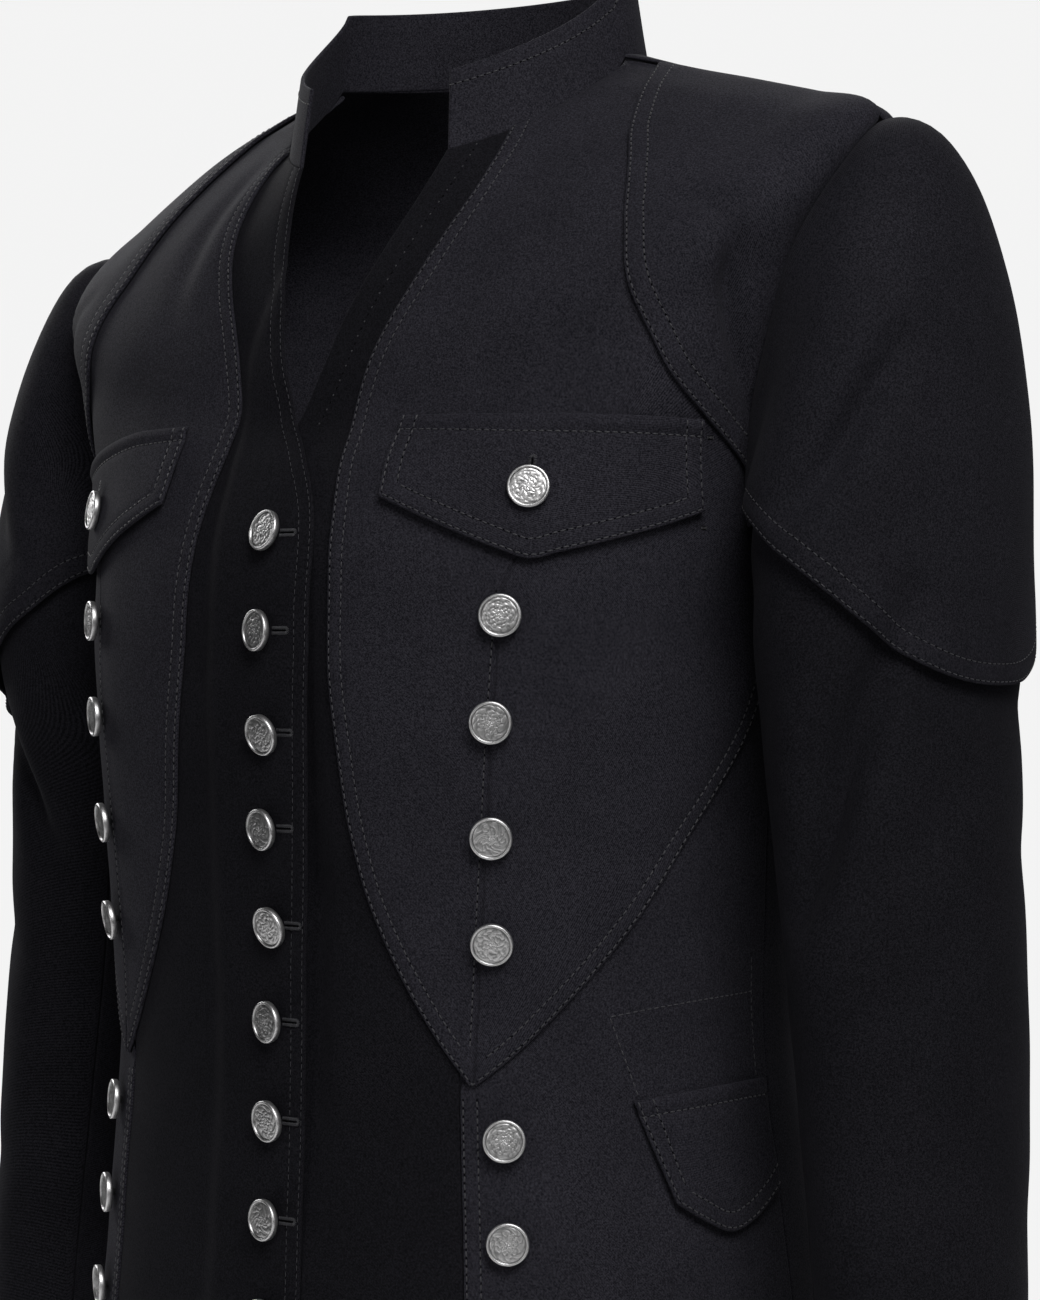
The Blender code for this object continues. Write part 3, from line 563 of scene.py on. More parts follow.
class Lay:
    """A grid on a surface, whose columns run beside its anchor lines at set distances.

    An anchor is (line, steps beside it); line(b) is its a for every row's b, or one a for all.
    """

    def __init__(self, surface, b, anchors, out, pitch=PITCH):
        steps = [np.array(beside) for _, beside in anchors]
        lines = [line(b) if callable(line) else np.full(len(b), line) for line, _ in anchors]
        lines = np.array(lines, float)
        share = np.linspace(0, 1, SAMPLES + 1)
        wide = lines[-1] - lines[0]
        wide = np.where(np.abs(wide) < 1e-6, 1e-6, wide)
        fine = lines[0][:, None] + wide[:, None] * share
        points = surface.bare(fine, b[:, None])
        run = lengths(points, 1)
        spot = (lines - lines[0]) / wide
        at = np.array([[np.interp(s, share, r) for s, r in zip(row, run)] for row in spot])
        slant = []
        for row in spot:
            i = np.clip((row * SAMPLES).round().astype(int), 1, SAMPLES - 1)
            rows = np.arange(len(b))
            here = np.array([read_off(share, p, s) for s, p in zip(row, points)])
            along_row = unit(points[rows, i + 1] - points[rows, i - 1])
            slant.append(sine_between(along_row, unit(np.gradient(here, axis=0))))
        counts = []
        for k in range(len(anchors) - 1):
            used = steps[k][-1] / slant[k] + steps[k + 1][-1] / slant[k + 1]
            counts.append(max(1, math.ceil(float(np.max(at[k + 1] - at[k] - used)) / pitch)))
        placed = []
        for i in range(len(b)):
            line = []
            for k, count in enumerate(counts):
                beside = steps[k] / slant[k][i], steps[k + 1] / slant[k + 1][i]
                whole = spaced(at[k + 1][i] - at[k][i], *beside, 0.85, count=count)
                line.append(at[k][i] + whole[(k > 0) :])
            placed.append(np.concatenate(line))
        placed = np.array(placed)
        a = np.array([np.interp(p, r, f) for p, r, f in zip(placed, run, fine)])
        self.b = np.broadcast_to(b[:, None], a.shape)
        self.bare, self.normals, self.moved = surface.at(a, self.b)
        self.out = out(a, self.b) if callable(out) else np.full(a.shape, float(out))
        self.anchors = [(placed - at[k][:, None]) * slant[k][:, None] for k in range(len(anchors))]
        self.start = self.anchors[0]
        self.end = -self.anchors[-1]
        down = lengths(self.bare, 0)
        for name, i, j in (("low", 0, 1), ("high", -1, -2)):
            row = unit(np.gradient(self.bare[i], axis=0))
            column = unit(self.bare[j] - self.bare[i])
            setattr(self, name, np.abs(down - down[i]) * sine_between(row, column))
        near = np.minimum.reduce([self.start, self.end, self.low, self.high])
        full = np.sqrt(1 - (1 - np.clip(near / EDGE_ROLL, 0, 1)) ** 2)
        self.top = THICK / 2 * (1 + full)
        self.bottom = THICK / 2 * (1 - full)
        self.across = lengths(self.bare, 1)
        self.down = down
        self.dips = np.zeros(a.shape)
        self.lift = np.zeros(a.shape)

    def roll(self, distance, drop, reach):
        """Lets the cloth curve down by drop towards an edge."""
        near = 1 - np.clip(distance / reach, 0, 1)
        self.lift -= drop * (1 - np.sqrt(1 - near**2))

    def dip(self, distance, at, depth=STITCH_DIP, width=DIP_WIDTH, where=1.0):
        """Draws the face down in a groove at some distance from an edge."""
        self.dips -= depth * where * np.exp(-(((distance - at) / width) ** 2))

    def points(self, level, dipped=1.0):
        """Points of a face: the outer one at top, or the back at bottom, which dips less."""
        out = self.out + self.moved + self.lift + level + self.dips * dipped
        return self.bare + self.normals * out[..., None]

    def line_at(self, distance, at, keep=None, down=False):
        """The line on the outer face where a distance takes a value, and its normals.

        It is crossed row by row, or column by column if down, and left out where keep is negative.
        """
        grids = [self.points(self.top), self.normals, distance, distance * 0 if keep is None else keep]
        if down:
            grids = [np.swapaxes(grid, 0, 1) for grid in grids]
        found = []
        for face, normal, d, kept in zip(*grids):
            order = np.argsort(d)
            if d.min() <= at <= d.max() and np.interp(at, d[order], kept[order]) >= 0:
                found.append(read_off(d[order], np.concatenate([face, normal], 1)[order], at))
        found = np.array(found).reshape(-1, 6)
        return found[:, :3], found[:, 3:]


def add_object(name, data):
    made = bpy.data.objects.new(name, data)
    bpy.context.scene.collection.objects.link(made)
    return made


def make_object(name, points, faces, finish, uv=None, node=None):
    data = bpy.data.meshes.new(name)
    data.from_pydata((np.asarray(points) * MM).tolist(), [], faces)
    data.shade_smooth()
    data.materials.append(finish)
    if uv is not None:
        layer = data.uv_layers.new(name="weave")
        loops = np.zeros(len(data.loops), int)
        data.loops.foreach_get("vertex_index", loops)
        layer.data.foreach_set("uv", uv[loops].ravel())
    made = add_object(name, data)
    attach(made, "root")
    if node:
        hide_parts(node)
    return made


def sew(name, node, lay, uv, finish):
    """Makes a closed wall of cloth of a grid: outer face and inner face meet at its edges."""
    face, back = lay.points(lay.top), lay.points(lay.bottom, 0.5)
    rows, columns = face.shape[:2]
    outer = np.arange(rows * columns).reshape(rows, columns)
    inner = outer.copy()
    count = rows * columns
    core = np.arange((rows - 2) * (columns - 2)).reshape(rows - 2, columns - 2) + count
    inner[1:-1, 1:-1] = core
    points = np.concatenate([face.reshape(-1, 3), back[1:-1, 1:-1].reshape(-1, 3)])
    uv = np.concatenate([uv.reshape(-1, 2), uv[1:-1, 1:-1].reshape(-1, 2)])

    def quads(index, flip):
        corners = [index[:-1, :-1], index[:-1, 1:], index[1:, 1:], index[1:, :-1]]
        if flip:
            corners.reverse()
        return np.stack([c.ravel() for c in corners], 1).tolist()

    i, j = rows // 2, columns // 2
    turn = np.cross(face[i, j + 1] - face[i, j], face[i + 1, j] - face[i, j])
    flip = float(turn @ lay.normals[i, j]) < 0
    faces = quads(outer, flip) + quads(inner, not flip)
    return make_object(name, points, faces, finish, uv, node)


def grain(lay, side):
    """Weave coordinates in centimetres: along the cloth's own length and width."""
    u = lay.across - lay.across[:, :1]
    anchor = lay.bare[:, 0, 0]
    return np.stack([(u + np.abs(anchor)[:, None]) / 10 * side, lay.down / 10], -1)


def loft_faces(rings, sides, flip=False):
    """Faces of rings of points that lie between two single ones, the first and the last."""
    last = rings * sides + 1
    faces = []
    for k in range(sides):
        n = (k + 1) % sides
        faces.append((0, 1 + k, 1 + n))
        for i in range(1, last - sides, sides):
            faces.append((i + k, i + sides + k, i + sides + n, i + n))
        i = last - sides
        faces.append((i + n, i + k, last))
    return [(f[0], *f[:0:-1]) for f in faces] if flip else faces


# ---------------- stitches
def capsule(length, radius, sides=5):
    """A thread seen between two needle holes: a low arch with rounded ends, along X."""
    stations = [(-0.5, 0.0, -0.35), (-0.46, 0.6, -0.1), (-0.3, 1.0, 0.35), (0.0, 1.06, 0.5)]
    stations += [(-x, r, z) for x, r, z in reversed(stations[:-1])]
    points = []
    for x, r, z in stations:
        for k in range(sides if r else 1):
            t = 2 * math.pi * k / sides
            points.append((x * length, r * radius * math.cos(t), (z + r * math.sin(t)) * radius))
    return np.array(points), loft_faces(len(stations) - 2, sides, flip=True)


def pit(length, radius):
    """A needle's hole, drawn as a low lozenge of painted shade along X."""
    ring = [(math.cos(t) * length / 2, math.sin(t) * radius, 0) for t in np.arange(6) * math.pi / 3]
    faces = [(6, k, (k + 1) % 6) for k in range(6)] + [(7, (k + 1) % 6, k) for k in range(6)]
    return np.array([*ring, (0, 0, 0.05), (0, 0, -0.3)]), faces


THREADS = []


def twin_rows(sewn, lay, distance, rows, keep=None, depth=STITCH_DIP, where=1.0, thick=THREAD):
    """Rows of stitches beside an edge, each in its own groove."""
    for at in rows:
        lay.dip(distance, at, depth, where=where)
    for at in rows:
        sewn.row(lay.line_at(distance, at, keep), thick=thick)


class Thread:
    """Collects stitches and needle holes and makes one mesh of them."""

    def __init__(self, name):
        THREADS.append(self)
        self.name, self.points, self.faces, self.dark, self.count = name, [], [], [], 0

    def place(self, shape, faces, centre, along, normal, dark):
        along = unit(along - normal * (along @ normal))
        turned = np.stack([along, np.cross(normal, along), normal])
        self.points.append(shape @ turned + centre)
        self.faces += [tuple(self.count + i for i in f) for f in faces]
        self.dark += [dark] * len(faces)
        self.count += len(shape)

    def one(self, centre, along, normal, length=STITCH_LENGTH, thick=THREAD):
        self.place(*capsule(length, thick / 2), centre, along, normal, 0)

    # A lozenge of painted shade, a hair above the cloth.
    def hole(self, centre, along, normal, length=1.0, wide=0.7):
        self.place(*pit(length, wide / 2), centre + normal * 0.03, along, normal, 1)

    def buttonhole(self, point, normal, along, reach):
        """A worked keyhole slit that runs from under a button out to some distance."""
        side = np.cross(normal, along)
        for s in np.arange(0.4 * reach, reach, WORKED_PITCH):
            for sign in (1, -1):
                self.one(point + along * s + side * sign * 1.1, side, normal, 1.5, 0.36)
        for turn in np.arange(-75, 76, 25):
            t = math.radians(turn)
            out = along * math.cos(t) + side * math.sin(t)
            self.one(point + along * reach + out * 1.1, out, normal, 1.5, 0.36)
        # The slit is drawn as painted shade.
        self.hole(point + along * (0.7 * reach + 0.2), along, normal, 0.6 * reach + 1.2, 0.9)

    def bar_tack(self, point, normal, along):
        """A short dense bar of thread, sunk in the cloth, that strengthens a corner."""
        side = np.cross(normal, along)
        # Painted shade under the bar, where it sinks into the cloth.
        self.hole(point, along, normal, 4.2, 2.2)
        for s in np.arange(-1.4, 1.5, 0.7):
            self.one(point + along * s - normal * 0.1, side, normal, 1.5, 0.4)

    def row(self, line, pitch=STITCH_PITCH, length=STITCH_LENGTH, thick=THREAD, skip=(0, 0)):
        """Stitches along a line on a face; skip leaves that much out at its two ends."""
        points, normals = line
        if len(points) < 3:
            return
        run = lengths(points, 0)
        first, last = skip[0], run[-1] - skip[1]
        count = int((last - first) // pitch)
        if count < 1:
            return
        step = (last - first) / count
        places = first + step * (np.arange(count) + 0.5)
        for number, s in enumerate(places):
            here, before, after = (read_off(run, points, s + x * length / 2) for x in (0, -1, 1))
            normal = unit(read_off(run, normals, s))
            lean = 0.06 * math.sin(number * 2.4)
            along = unit(after - before)
            along = along + np.cross(normal, along) * lean
            centre = (before + after) / 2 * 0.5 + here * 0.5
            self.one(centre, along, normal, length * (step / pitch) ** 0.5, thick)
            gap = read_off(run, points, s + step / 2)
            self.hole(gap, along, normal, min(max(step - length, 0.5) * 1.15, 1.3), thick * 1.35)

    def make(self, finish):
        made = make_object(self.name, np.concatenate(self.points), self.faces, finish)
        # Faces marked dark take the painted shade of holes and slits.
        made.data.materials.append(painted_hole_shade)
        made.data.polygons.foreach_set("material_index", self.dark)


# ---------------- materials
def fill(node, **values):
    """Sets a node's own values and its inputs, which are named with _ for each space in them."""
    for key, value in values.items():
        if hasattr(node, key):
            setattr(node, key, value)
        else:
            node.inputs[key.replace("_", " ")].default_value = value
    return node


class Shading:
    """The node tree of a material or world."""

    def __init__(self, owner, main, **values):
        owner.use_nodes = True
        self.owner, self.nodes, self.links = owner, owner.node_tree.nodes, owner.node_tree.links
        self.main = fill(self.nodes[main], **values)

    def add(self, kind, **values):
        return fill(self.nodes.new("ShaderNode" + kind), **values)

    def join(self, output, node, key):
        self.links.new(output, node.inputs[key])

    def noise(self, **values):
        """A noise that stays with its object."""
        node = self.add("TexNoise", **values)
        self.join(self.add("TexCoord").outputs["Object"], node, "Vector")
        return node.outputs["Fac"]

    def ramp(self, factor, low, high, start=0, end=1):
        node = self.add("ValToRGB")
        self.join(factor, node, "Fac")
        for stop, place, colour in zip(node.color_ramp.elements, (start, end), (low, high)):
            stop.position, stop.color = place, (*colour, 1)
        return node.outputs["Color"]

    def bump(self, height, strength, distance):
        node = self.add("Bump", Strength=strength, Distance=distance)
        self.join(height, node, "Height")
        self.join(node.outputs["Normal"], self.main, "Normal")


def new_material(name, **values):
    return Shading(bpy.data.materials.new(name), "Principled BSDF", **values)


def cloth_material(name, tone):
    """Dark worsted with a fine steep twill and an uneven nap; tone scales its colours, and a tone below the
    main cloth's paints shade into them.
    """
    made = new_material(
        name, Roughness=0.82, Specular_IOR_Level=0.07, Sheen_Weight=0.025, Sheen_Roughness=0.5,
        Sheen_Tint=(0.8, 0.8, 0.9, 1),
    )
    turned = made.add("Mapping", Rotation=(0, 0, math.radians(TWILL_SLANT)))
    made.join(made.add("UVMap", uv_map="weave").outputs["UV"], turned, "Vector")
    twill = made.add(
        "TexWave", wave_type="BANDS", bands_direction="X", Scale=5.2, Distortion=2.2, Detail=3, Detail_Scale=6
    )
    made.join(turned.outputs["Vector"], twill, "Vector")
    height = made.add("Math", operation="MULTIPLY_ADD")
    height.inputs[1].default_value = TWILL_SHARE
    made.join(twill.outputs["Fac"], height, 0)
    made.join(made.noise(Scale=1300, Detail=4, Roughness=0.7), height, 2)
    low, high = ([part * tone for part in colour] for colour in WOOL)
    weave = made.ramp(height.outputs[0], low, high, 0.465, 0.705)
    shade = made.ramp(made.noise(Scale=26, Detail=3), (0.86, 0.86, 0.87), (1.08, 1.08, 1.09), 0.3, 0.7)
    worn = made.add("Mix", data_type="RGBA", blend_type="MULTIPLY", Factor=1)
    made.join(weave, worn, 6)
    made.join(shade, worn, 7)
    made.join(worn.outputs[2], made.main, "Base Color")
    made.bump(height.outputs[0], 0.35, 0.0003)
    return made.owner


def fibre_material(name, scale, low, high, **values):
    made = new_material(name, **values)
    made.join(made.ramp(made.noise(Scale=scale), low, high), made.main, "Base Color")
    return made.owner


def metal_material():
    made = new_material("silver_metal", Metallic=1)
    tone = made.add("VertexColor", layer_name="recess")
    grit = made.noise(Scale=1400, Detail=4)
    mix = made.add("Mix", data_type="RGBA")
    mix.inputs[6].default_value = (0.86, 0.85, 0.85, 1)
    mix.inputs[7].default_value = (0.22, 0.22, 0.22, 1)
    made.join(tone.outputs["Color"], mix, "Factor")
    made.join(mix.outputs[2], made.main, "Base Color")
    rough = made.add("MapRange", To_Min=0.3, To_Max=0.5)
    made.join(grit, rough, "Value")
    made.join(rough.outputs["Result"], made.main, "Roughness")
    made.bump(grit, 0.12, 0.0001)
    return made.owner


# The main worsted is the lit cloth. The front, sleeve overlay and sleeve copies are the same cloth, darkened
# to paint in the shade those pieces lie in.
wool = cloth_material("worsted", 1.25)
front_wool_painted_shade = cloth_material("worsted_front", 0.46)
overlay_wool_painted_shade = cloth_material("worsted_overlay", 0.8)
sleeve_wool_painted_shade = cloth_material("worsted_sleeve", 0.55)
silver = metal_material()
thread = fibre_material(
    "sewing_thread", 900, (0.018, 0.0178, 0.022), (0.06, 0.059, 0.067), Roughness=0.55, Sheen_Weight=0.15
)
# The shade inside a needle's hole or a buttonhole's slit.
painted_hole_shade = fibre_material(
    "needle_hole", 1200, (0.001, 0.001, 0.0012), (0.004, 0.004, 0.005), Roughness=1, Specular_IOR_Level=0.05
)
BODY, ARM = {}, {}
for hand in (1, -1):
    BODY[hand] = Surface(lambda a, b, s=hand: skin(s * a, b), BODY_FOLDS[hand], 0.25, 0.5, hand)
    ARM[hand] = Surface(lambda a, b, s=hand: sleeve_skin(a, b, s), SLEEVE_FOLDS[hand], 0.5, 0.02, hand)


def on_body(side, low, high, around, anchors, out=0, pitch=PITCH):
    """A grid on the body between two levels, each given as (level, steps beside it)."""
    b = rows_between(BODY[side].bare, around, low, high, pitch)
    return Lay(BODY[side], b, anchors, out, pitch)


def keep(node, lay, side, finish=wool):
    sew(f"cloth_{node}", node, lay, grain(lay, side), finish)


def make_front(side, tag):
    sewn = Thread(f"stitches_front_{tag}")
    if side > 0:
        anchors = [(following(LEFT_FRONT_EDGE), TURNED), (inner_end, PRESSED)]
        lay = on_body(side, (HEM, TURNED), BODY_TOP, 12, anchors)
        above = lay.b - NECK_POINT
        lay.dip(lay.start, NECK_ROW, 0.12, 1.5, ease(above / 30))
        sewn.row(lay.line_at(lay.start, NECK_ROW, above - 8), 6.7, 0.9)
    else:

        def lapped(around, _):
            return LAYER * (1 - ease((around - LAP_START) / (LAP_END - LAP_START)))

        anchors = [(lambda z: -edge(RIGHT_FRONT_EDGE, z), ROLLED), (inner_end, PRESSED)]
        lay = on_body(side, (HEM, TURNED), BODY_TOP, 12, anchors, lapped)
        twin_rows(sewn, lay, lay.start, EDGE_ROWS, None, 0.22, thick=0.24)
    keep(f"front_{tag}", lay, side, front_wool_painted_shade)


def shield_edge(z):
    return np.where(z < SHIELD_CORNER, edge(SHIELD_OUTER, z), armhole_at(z))


def dart_line(z):
    """The dart's seam, which turns aside at its point."""
    return edge(DART, z) + 1.5 * ease((z + 234) / 18)


def make_shield(side, tag):
    anchors = [(following(SHIELD_INNER), ROLLED), (dart_line, GROOVE), (shield_edge, ROLLED)]
    lay = on_body(side, (SHIELD_TIP, TURNED), BODY_TOP, 36.5, anchors, shield_out)
    lay.roll(lay.high, drop=1.8, reach=7)
    lay.lift -= 1.8 * np.exp(-((lay.end / 5) ** 2)) * (lay.b > SHIELD_CORNER)
    dart = lay.anchors[1]
    below = ease((DART_TOP + 14 - lay.b) / 10)
    lay.dip(dart, 0, depth=1.0, width=0.6, where=below)
    lay.dip(dart, -2.6, depth=-0.35, width=1.6, where=below)
    low = lay.b < SHIELD_CORNER
    for at in EDGE_ROWS:
        lay.dip(lay.start, at)
        lay.dip(lay.end, at, where=low)
    sewn = Thread(f"stitches_shield_{tag}")
    sewn.row(lay.line_at(lay.start, EDGE_ROWS[0]), skip=(0.5, 0))
    sewn.row(lay.line_at(lay.start, EDGE_ROWS[1], -dart - 2.4))
    sewn.row(lay.line_at(lay.end, EDGE_ROWS[0], SHIELD_CORNER - lay.b), skip=(0.5, 0))
    sewn.row(lay.line_at(lay.end, EDGE_ROWS[1], np.minimum(dart, SHIELD_CORNER - lay.b)))
    sewn.row(lay.line_at(dart, -1.9, np.minimum(DART_TOP - 8 - lay.b, lay.start - 8)), thick=0.5)
    keep(f"shield_{tag}", lay, side)


def make_front_side(side, tag):
    anchors = [(outer_start, ROLLED), (SIDE_SEAM, PRESSED)]
    lay = on_body(side, (HEM, TURNED), (SHIELD_CORNER - 2, HIDDEN), 60, anchors)
    below = ease((SHIELD_TIP - 2 - lay.b) / 10)
    lay.lift += 1.1 * below * np.exp(-((lay.start / 7) ** 2))
    sewn = Thread(f"stitches_side_{tag}")
    twin_rows(sewn, lay, lay.start, EDGE_ROWS, SHIELD_TIP - 6 - lay.b, where=below)
    for path in (POCKET_TOP, POCKET_SIDE, SIDE_ROW):
        sewn.row(BODY[side].put(*trail(path, SEAM_SAMPLES), THICK - 0.1), thick=0.5)
    keep(f"front_side_{tag}", lay, side)


def make_back(side, tag):
    anchors = [(lambda z: armhole_at(z, False), PRESSED), (180, PRESSED)]
    keep(f"back_{tag}", on_body(side, (HEM, TURNED), BODY_TOP, 150, anchors), side)


def make_shoulder_overlay(side, tag):
    ends = [(OVERLAY_EDGE[i].level, HIDDEN) for i in (0, -1)]
    anchors = [(following(OVERLAY_EDGE), ROLLED), (armhole_at, ROLLED)]
    lay = on_body(side, *ends, 76, anchors, lambda a, z: shield_out(a, z) + OVERLAY_OUT, FINE_PITCH)
    lay.roll(lay.end, OVERLAY_OUT, reach=11)
    sewn = Thread(f"stitches_shoulder_{tag}")
    twin_rows(sewn, lay, lay.start, HEM_ROWS, lay.end - 1, thick=0.66)
    keep(f"shoulder_overlay_{tag}", lay, side)


class Placed(Surface):
    """A surface addressed by places of another kind."""

    def __init__(self, on, place):
        self.at = lambda a, b: on.at(*place(a, b))
        self.bare = lambda a, b: on.bare(*place(a, b))


def make_flap(node, side, rows, out, far_free):
    def place(down, along):
        """On the body, from a share down the flap and a share across it."""
        row = through(np.arange(len(rows)), rows, along * (len(rows) - 1))
        top_around, foot_around, top, foot = np.moveaxis(row, -1, 0)
        return top_around + (foot_around - top_around) * down, top + (foot - top) * down

    on = Placed(BODY[side], place)
    b = rows_between(on.bare, 0.5, (0, ROLLED), (1, ROLLED if far_free else PRESSED))
    lay = Lay(on, b, [(0, FLAP_TOP), (1, ROLLED)], out, FLAP_PITCH)
    lay.lift += 2.0 * np.clip(lay.start / 40, 0, 1)
    lay.lift += 0.9 * np.exp(-(((lay.start - 3.2) / 2.4) ** 2))
    lay.dip(lay.start, FLAP_TOP_ROW, depth=0.5, width=1.1)
    sides = [lay.low, lay.high] if far_free else [lay.low]
    sewn = Thread(f"stitches_{node}")
    for at in FLAP_ROWS:
        for side_distance in sides:
            lay.dip(side_distance, at, where=ease((lay.end - at + 1) / 2))
        lay.dip(lay.end, at, where=np.minimum.reduce([ease((s - at + 1) / 2) for s in sides]))
    sewn.row(lay.line_at(lay.start, FLAP_TOP_ROW), skip=(1, 1))
    for at in FLAP_ROWS:
        for side_distance in sides:
            sewn.row(lay.line_at(side_distance, at, lay.end - at, down=True), skip=(0.8, 0))
        inside = np.minimum.reduce([s - at for s in sides])
        sewn.row(lay.line_at(lay.end, at, inside))
    keep(node, lay, side)


def make_sleeve(side, tag):
    arm = ARM[side]
    for part, (first, last) in SLEEVE_SEAMS.items():
        ends = (0, PRESSED), (len(SLEEVE), TURNED)
        b = rows_between(arm.bare, (first + last) / 2, *ends, SLEEVE_PITCH)
        lay = Lay(arm, b, [(first, PRESSED), (last, PRESSED)], 0, SLEEVE_PITCH)
        lay.roll(lay.low, HEAD_DROP, reach=14)
        keep(f"sleeve_{part}_{tag}", lay, side, sleeve_wool_painted_shade)

    round_arm = Placed(arm, lambda step, turn: (turn, step))
    ends = [(turn, PRESSED) for turn in OVERLAY_ENDS]
    b = rows_between(round_arm.bare, 2, *ends, OVERLAY_PITCH)
    anchors = [(SLEEVE_HEAD, ROLLED), (following(SLEEVE_OVERLAY_HEM), ROLLED)]
    lay = Lay(round_arm, b, anchors, OVERLAY_OUT, OVERLAY_PITCH)
    lay.roll(lay.start, OVERLAY_OUT + HEAD_DROP, reach=15)
    lay.lift += HEM_STANDS_OFF * np.exp(-((lay.end / 24) ** 2))
    sewn = Thread(f"stitches_sleeve_{tag}")
    twin_rows(sewn, lay, lay.end, HEM_ROWS, lay.start - 2, thick=0.46)
    keep(f"sleeve_overlay_{tag}", lay, side, overlay_wool_painted_shade)


def collar_skin(a, height):
    """It stands on the neck line and leans inward, a height up from it."""
    a, height = pair(a, height)
    foot = skin(a, np.full_like(a, COLLAR_LINE))
    lean = unit(foot * np.array([-1, -1, 0]))
    return foot + (lean * COLLAR_LEAN + np.array([0, 0, 1.0])) * height[..., None]


def make_collar():
    on = Surface(collar_skin, [], 0.5, 0.5)
    start = float(edge(LEFT_FRONT_EDGE, COLLAR_LINE))
    end = 360 + float(edge(RIGHT_FRONT_EDGE, COLLAR_LINE))
    b = rows_between(on.bare, 180, (0, PRESSED), (COLLAR_HEIGHT, ROLLED))
    lay = Lay(on, b, [(start, TURNED), (end, TURNED)], 0)
    lay.dip(lay.high, EDGE_ROWS[1], 0.15)
    sewn = Thread("stitches_collar")
    sewn.row(lay.line_at(lay.high, EDGE_ROWS[1], down=True))
    keep("collar", lay, 1)


# ---------------- buttons
def button_relief(radius, turn, seed):
    """How deep the die cut fine lines into the face at polar places: a curling net and a rosette."""
    r = radius / FACE_RADIUS
    curl = np.sin(7.5 * r + 1.3 * np.sin(3 * turn + seed)) * np.cos(5 * turn + 2.4 * np.sin(5 * r + seed))
    curl += 0.35 * np.sin(11 * turn - 13 * r + 2 * seed)
    rosette = np.cos(6 * turn + seed) * 0.5 + np.cos(13 * r)
    mixed = curl + (rosette - curl) * ease((0.36 - r) / 0.12)
    return np.exp(-((mixed / 0.3) ** 2))


def button_mesh(seed):
    radius = BUTTON / 2
    top = SHANK + BUTTON_EDGE
    floor_of_face = top - FACE_SINK
    t = np.linspace(0, 2 * math.pi, BUTTON_FACETS, endpoint=False)
    ones = np.ones_like(t)
    points, dark = [(0, 0, floor_of_face + 0.1)], [0.1]
    rings = []
    for r in FACE_RADIUS * np.arange(1, FACE_RINGS + 1) / FACE_RINGS:
        cut = button_relief(r * ones, t, seed)
        fade = ease((FACE_RADIUS - r) / 0.5)
        dome = 0.18 * (1 - (r / FACE_RADIUS) ** 2)
        z = floor_of_face + dome - RELIEF * cut * fade - RELIEF * (1 - fade)
        rings.append((r * ones, z, 0.6 * cut * fade + 0.9 * (1 - fade)))
    profile = [
        (7.62, top - 0.6, 0.8), (7.74, top - 0.15, 0.25), (7.9, top, 0.0), (8.35, top - 0.02, 0.0),
        (8.68, top - 0.2, 0.0), (8.84, top - 0.55, 0.0), (radius, top - 0.95, 0.0),
        (radius - 0.05, SHANK + 1.2, 0.05), (radius - 0.2, SHANK + 0.35, 0.1), (radius - 0.6, SHANK, 0.3),
        (radius - 2.0, SHANK - 0.02, 0.5), (4.0, SHANK, 0.6), (SHANK_RADIUS + 0.3, SHANK - 0.05, 0.7),
        (SHANK_RADIUS, SHANK - 0.4, 0.7), (SHANK_RADIUS, 0.0, 0.7),
    ]
    rings += [(r * ones, z * ones, d * ones) for r, z, d in profile]
    for r, z, d in rings:
        points += list(zip(r * np.cos(t), r * np.sin(t), z))
        dark += list(d)
    points.append((0, 0, -0.1))
    dark.append(0.7)
    data = bpy.data.meshes.new(f"button_{seed}")
    faces = loft_faces(len(rings), BUTTON_FACETS)
    data.from_pydata([(x * MM, y * MM, z * MM) for x, y, z in points], [], faces)
    data.shade_smooth()
    data.materials.append(silver)
    tone = data.color_attributes.new("recess", "FLOAT_COLOR", "POINT")
    tone.data.foreach_set("color", np.array([(d, d, d, 1) for d in dark]).ravel())
    return data


def button_place(side, sewn, layers):
    """Where a button's shank meets the cloth, the cloth's normal there, and level and upward."""
    point, normal = BODY[side].put(sewn.around, sewn.level, layers * LAYER + THICK)
    right = unit(np.cross(np.array([0, 0, 1.0]), normal))
    return point, normal, right, np.cross(normal, right)


def add_button(node, side, sewn, layers, data, spin):
    point, normal, right, up = button_place(side, sewn, layers)
    turned = np.eye(4)
    turned[:3, :3] = np.stack([right, up, normal], 1)
    turned[:3, 3] = (point + normal * SEWN_ON) * MM
    made = add_object(f"metal_{node}", data)
    made.matrix_world = Matrix(turned)
    for angle, axis in ((math.radians(sewn.turn), "Y"), (math.radians(sewn.tip), "X"), (spin, "Z")):
        made.matrix_world = made.matrix_world @ Matrix.Rotation(angle, 4, axis)
    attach(made, "root")
    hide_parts(node)


# ---------------- assembly
SIDES = ((1, "left"), (-1, "right"))
for hand, tag in SIDES:
    make_front(hand, tag)
    make_shield(hand, tag)
    make_front_side(hand, tag)
    make_back(hand, tag)
    make_shoulder_overlay(hand, tag)
    make_flap(f"chest_flap_{tag}", hand, CHEST_FLAP, 2 * LAYER, True)
    make_flap(f"hip_flap_{tag}", hand, HIP_FLAP, LAYER, False)
    make_sleeve(hand, tag)
make_collar()

worked = Thread("buttonholes")
for hand, _ in SIDES:
    point, normal, right, up = button_place(hand, FLAP_BUTTON, 3)
    worked.buttonhole(point, normal, up + right * 0.12, FLAP_HOLE)
    for around, level in FLAP_TACKS:
        point, normal, right, up = button_place(hand, Sewn(level, around), 1)
        worked.bar_tack(point, normal, right)
lapped_buttons = [sewn._replace(around=-sewn.around) for sewn in FRONT_BUTTONS]
for sewn in lapped_buttons:
    point, normal, right, up = button_place(-1, sewn, 1)
    worked.buttonhole(point, normal, right, FRONT_HOLE)

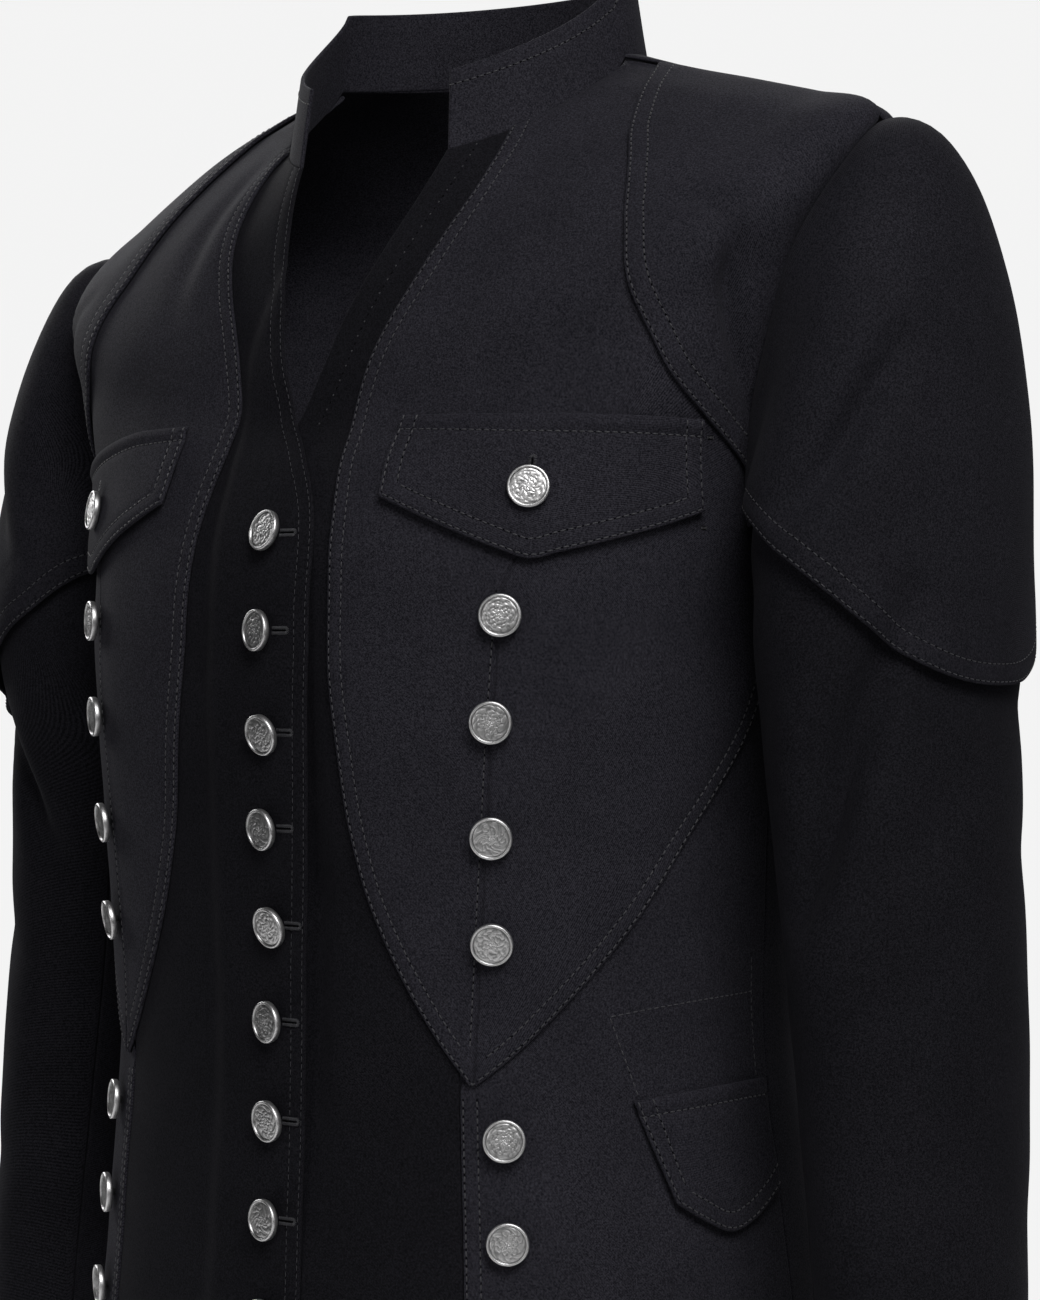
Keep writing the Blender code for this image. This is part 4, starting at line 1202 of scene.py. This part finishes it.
presses = [button_mesh(seed) for seed in (0.4, 1.9, 3.1, 4.4)]
buttons = []
for hand, tag in SIDES:
    buttons.append((f"flap_{tag}", hand, FLAP_BUTTON, 2))
    buttons += [(f"shield_{tag}_{i}", hand, sewn, 1) for i, sewn in enumerate(SHIELD_BUTTONS, 1)]
    buttons += [(f"side_{tag}_{i}", hand, sewn, 0) for i, sewn in enumerate(SIDE_BUTTONS, 1)]
buttons += [(f"front_{i}", -1, sewn, 1) for i, sewn in enumerate(lapped_buttons, 1)]
for number, (name, hand, sewn, layers) in enumerate(buttons, 1):
    add_button(f"button_{name}", hand, sewn, layers, presses[number % len(presses)], number * 2.1)

for sewn in THREADS:
    sewn.make(thread)

# ---------------- stage, light and camera
rim = np.linspace(0, 2 * math.pi, FLOOR_SIDES, endpoint=False)
floor = bpy.data.meshes.new("floor")
disc = [(FLOOR_RADIUS * math.cos(t), FLOOR_RADIUS * math.sin(t), FLOOR_LEVEL) for t in rim]
floor.from_pydata(disc, [], [tuple(range(FLOOR_SIDES))])
plain = add_object("floor", floor)
floor.materials.append(new_material("pale_floor", Base_Color=(0.85, 0.85, 0.85, 1), Roughness=0.9).owner)

sky = Shading(bpy.data.worlds.new("studio"), "Background", Color=(0.9, 0.92, 1, 1), Strength=0.01)
seen = sky.add("Background", Color=(1, 1, 1, 1), Strength=0.9)
either = sky.add("MixShader")
sky.join(sky.add("LightPath").outputs["Is Camera Ray"], either, 0)
sky.join(sky.main.outputs[0], either, 1)
sky.join(seen.outputs[0], either, 2)
sky.join(either.outputs[0], sky.nodes["World Output"], 0)
bpy.context.scene.world = sky.owner

# A softbox by where it stands round its target: azimuth from -Y toward +X, elevation, distance,
# then its width and height, how far its light fans out in degrees, and its power in watts.
Softbox = namedtuple("Softbox", "name target azimuth elevation distance wide high fan power")
SOFTBOXES = table(
    Softbox,
    ("key", (0.08, -0.10, -0.36), 54, 44, 2.2, 1.1, 1.1, 180, 30),
    ("side_key", (0.08, -0.10, -0.36), 84, 20, 2.2, 0.7, 0.9, 180, 3),
    ("front_card", (0.08, -0.12, -0.36), -4, 6, 2.2, 0.7, 1.2, 180, 4.5),
    ("camera_side", (0.08, -0.12, -0.30), 30, 12, 2.6, 1.6, 1.2, 180, 0.5),
    ("behind_left", (0, 0.05, -0.3), 228, 30, 2.2, 1, 1, 180, 15),
    ("behind_high", (0, 0.05, -0.3), 197, 50, 2.4, 1, 1, 180, 12),
    ("far_side", (-0.1, 0, -0.3), -98, 25, 2.2, 1, 1, 180, 16),
)
for box in SOFTBOXES:
    a, e = math.radians(box.azimuth), math.radians(box.elevation)
    away = Vector((math.sin(a) * math.cos(e), -math.cos(a) * math.cos(e), math.sin(e)))
    data = bpy.data.lights.new(box.name, "AREA")
    data.shape, data.size, data.size_y = "RECTANGLE", box.wide, box.high
    data.spread, data.energy = math.radians(box.fan), box.power
    made = add_object(box.name, data)
    made.location = Vector(box.target) + away * box.distance
    made.rotation_euler = away.to_track_quat("Z", "Y").to_euler()

CAMERA_PLACE = (1.0083, -1.2594, -0.2617)
CAMERA_TARGET = (0.1156, -0.1168, -0.2617)
lens = bpy.data.cameras.new("camera")
lens.lens = 97.9
lens.sensor_width = 36
camera = add_object("camera", lens)
camera.location = CAMERA_PLACE
aim = Vector(CAMERA_TARGET) - Vector(CAMERA_PLACE)
camera.rotation_euler = aim.to_track_quat("-Z", "Y").to_euler()
bpy.context.scene.camera = camera
bpy.context.scene.view_settings.view_transform = "Standard"
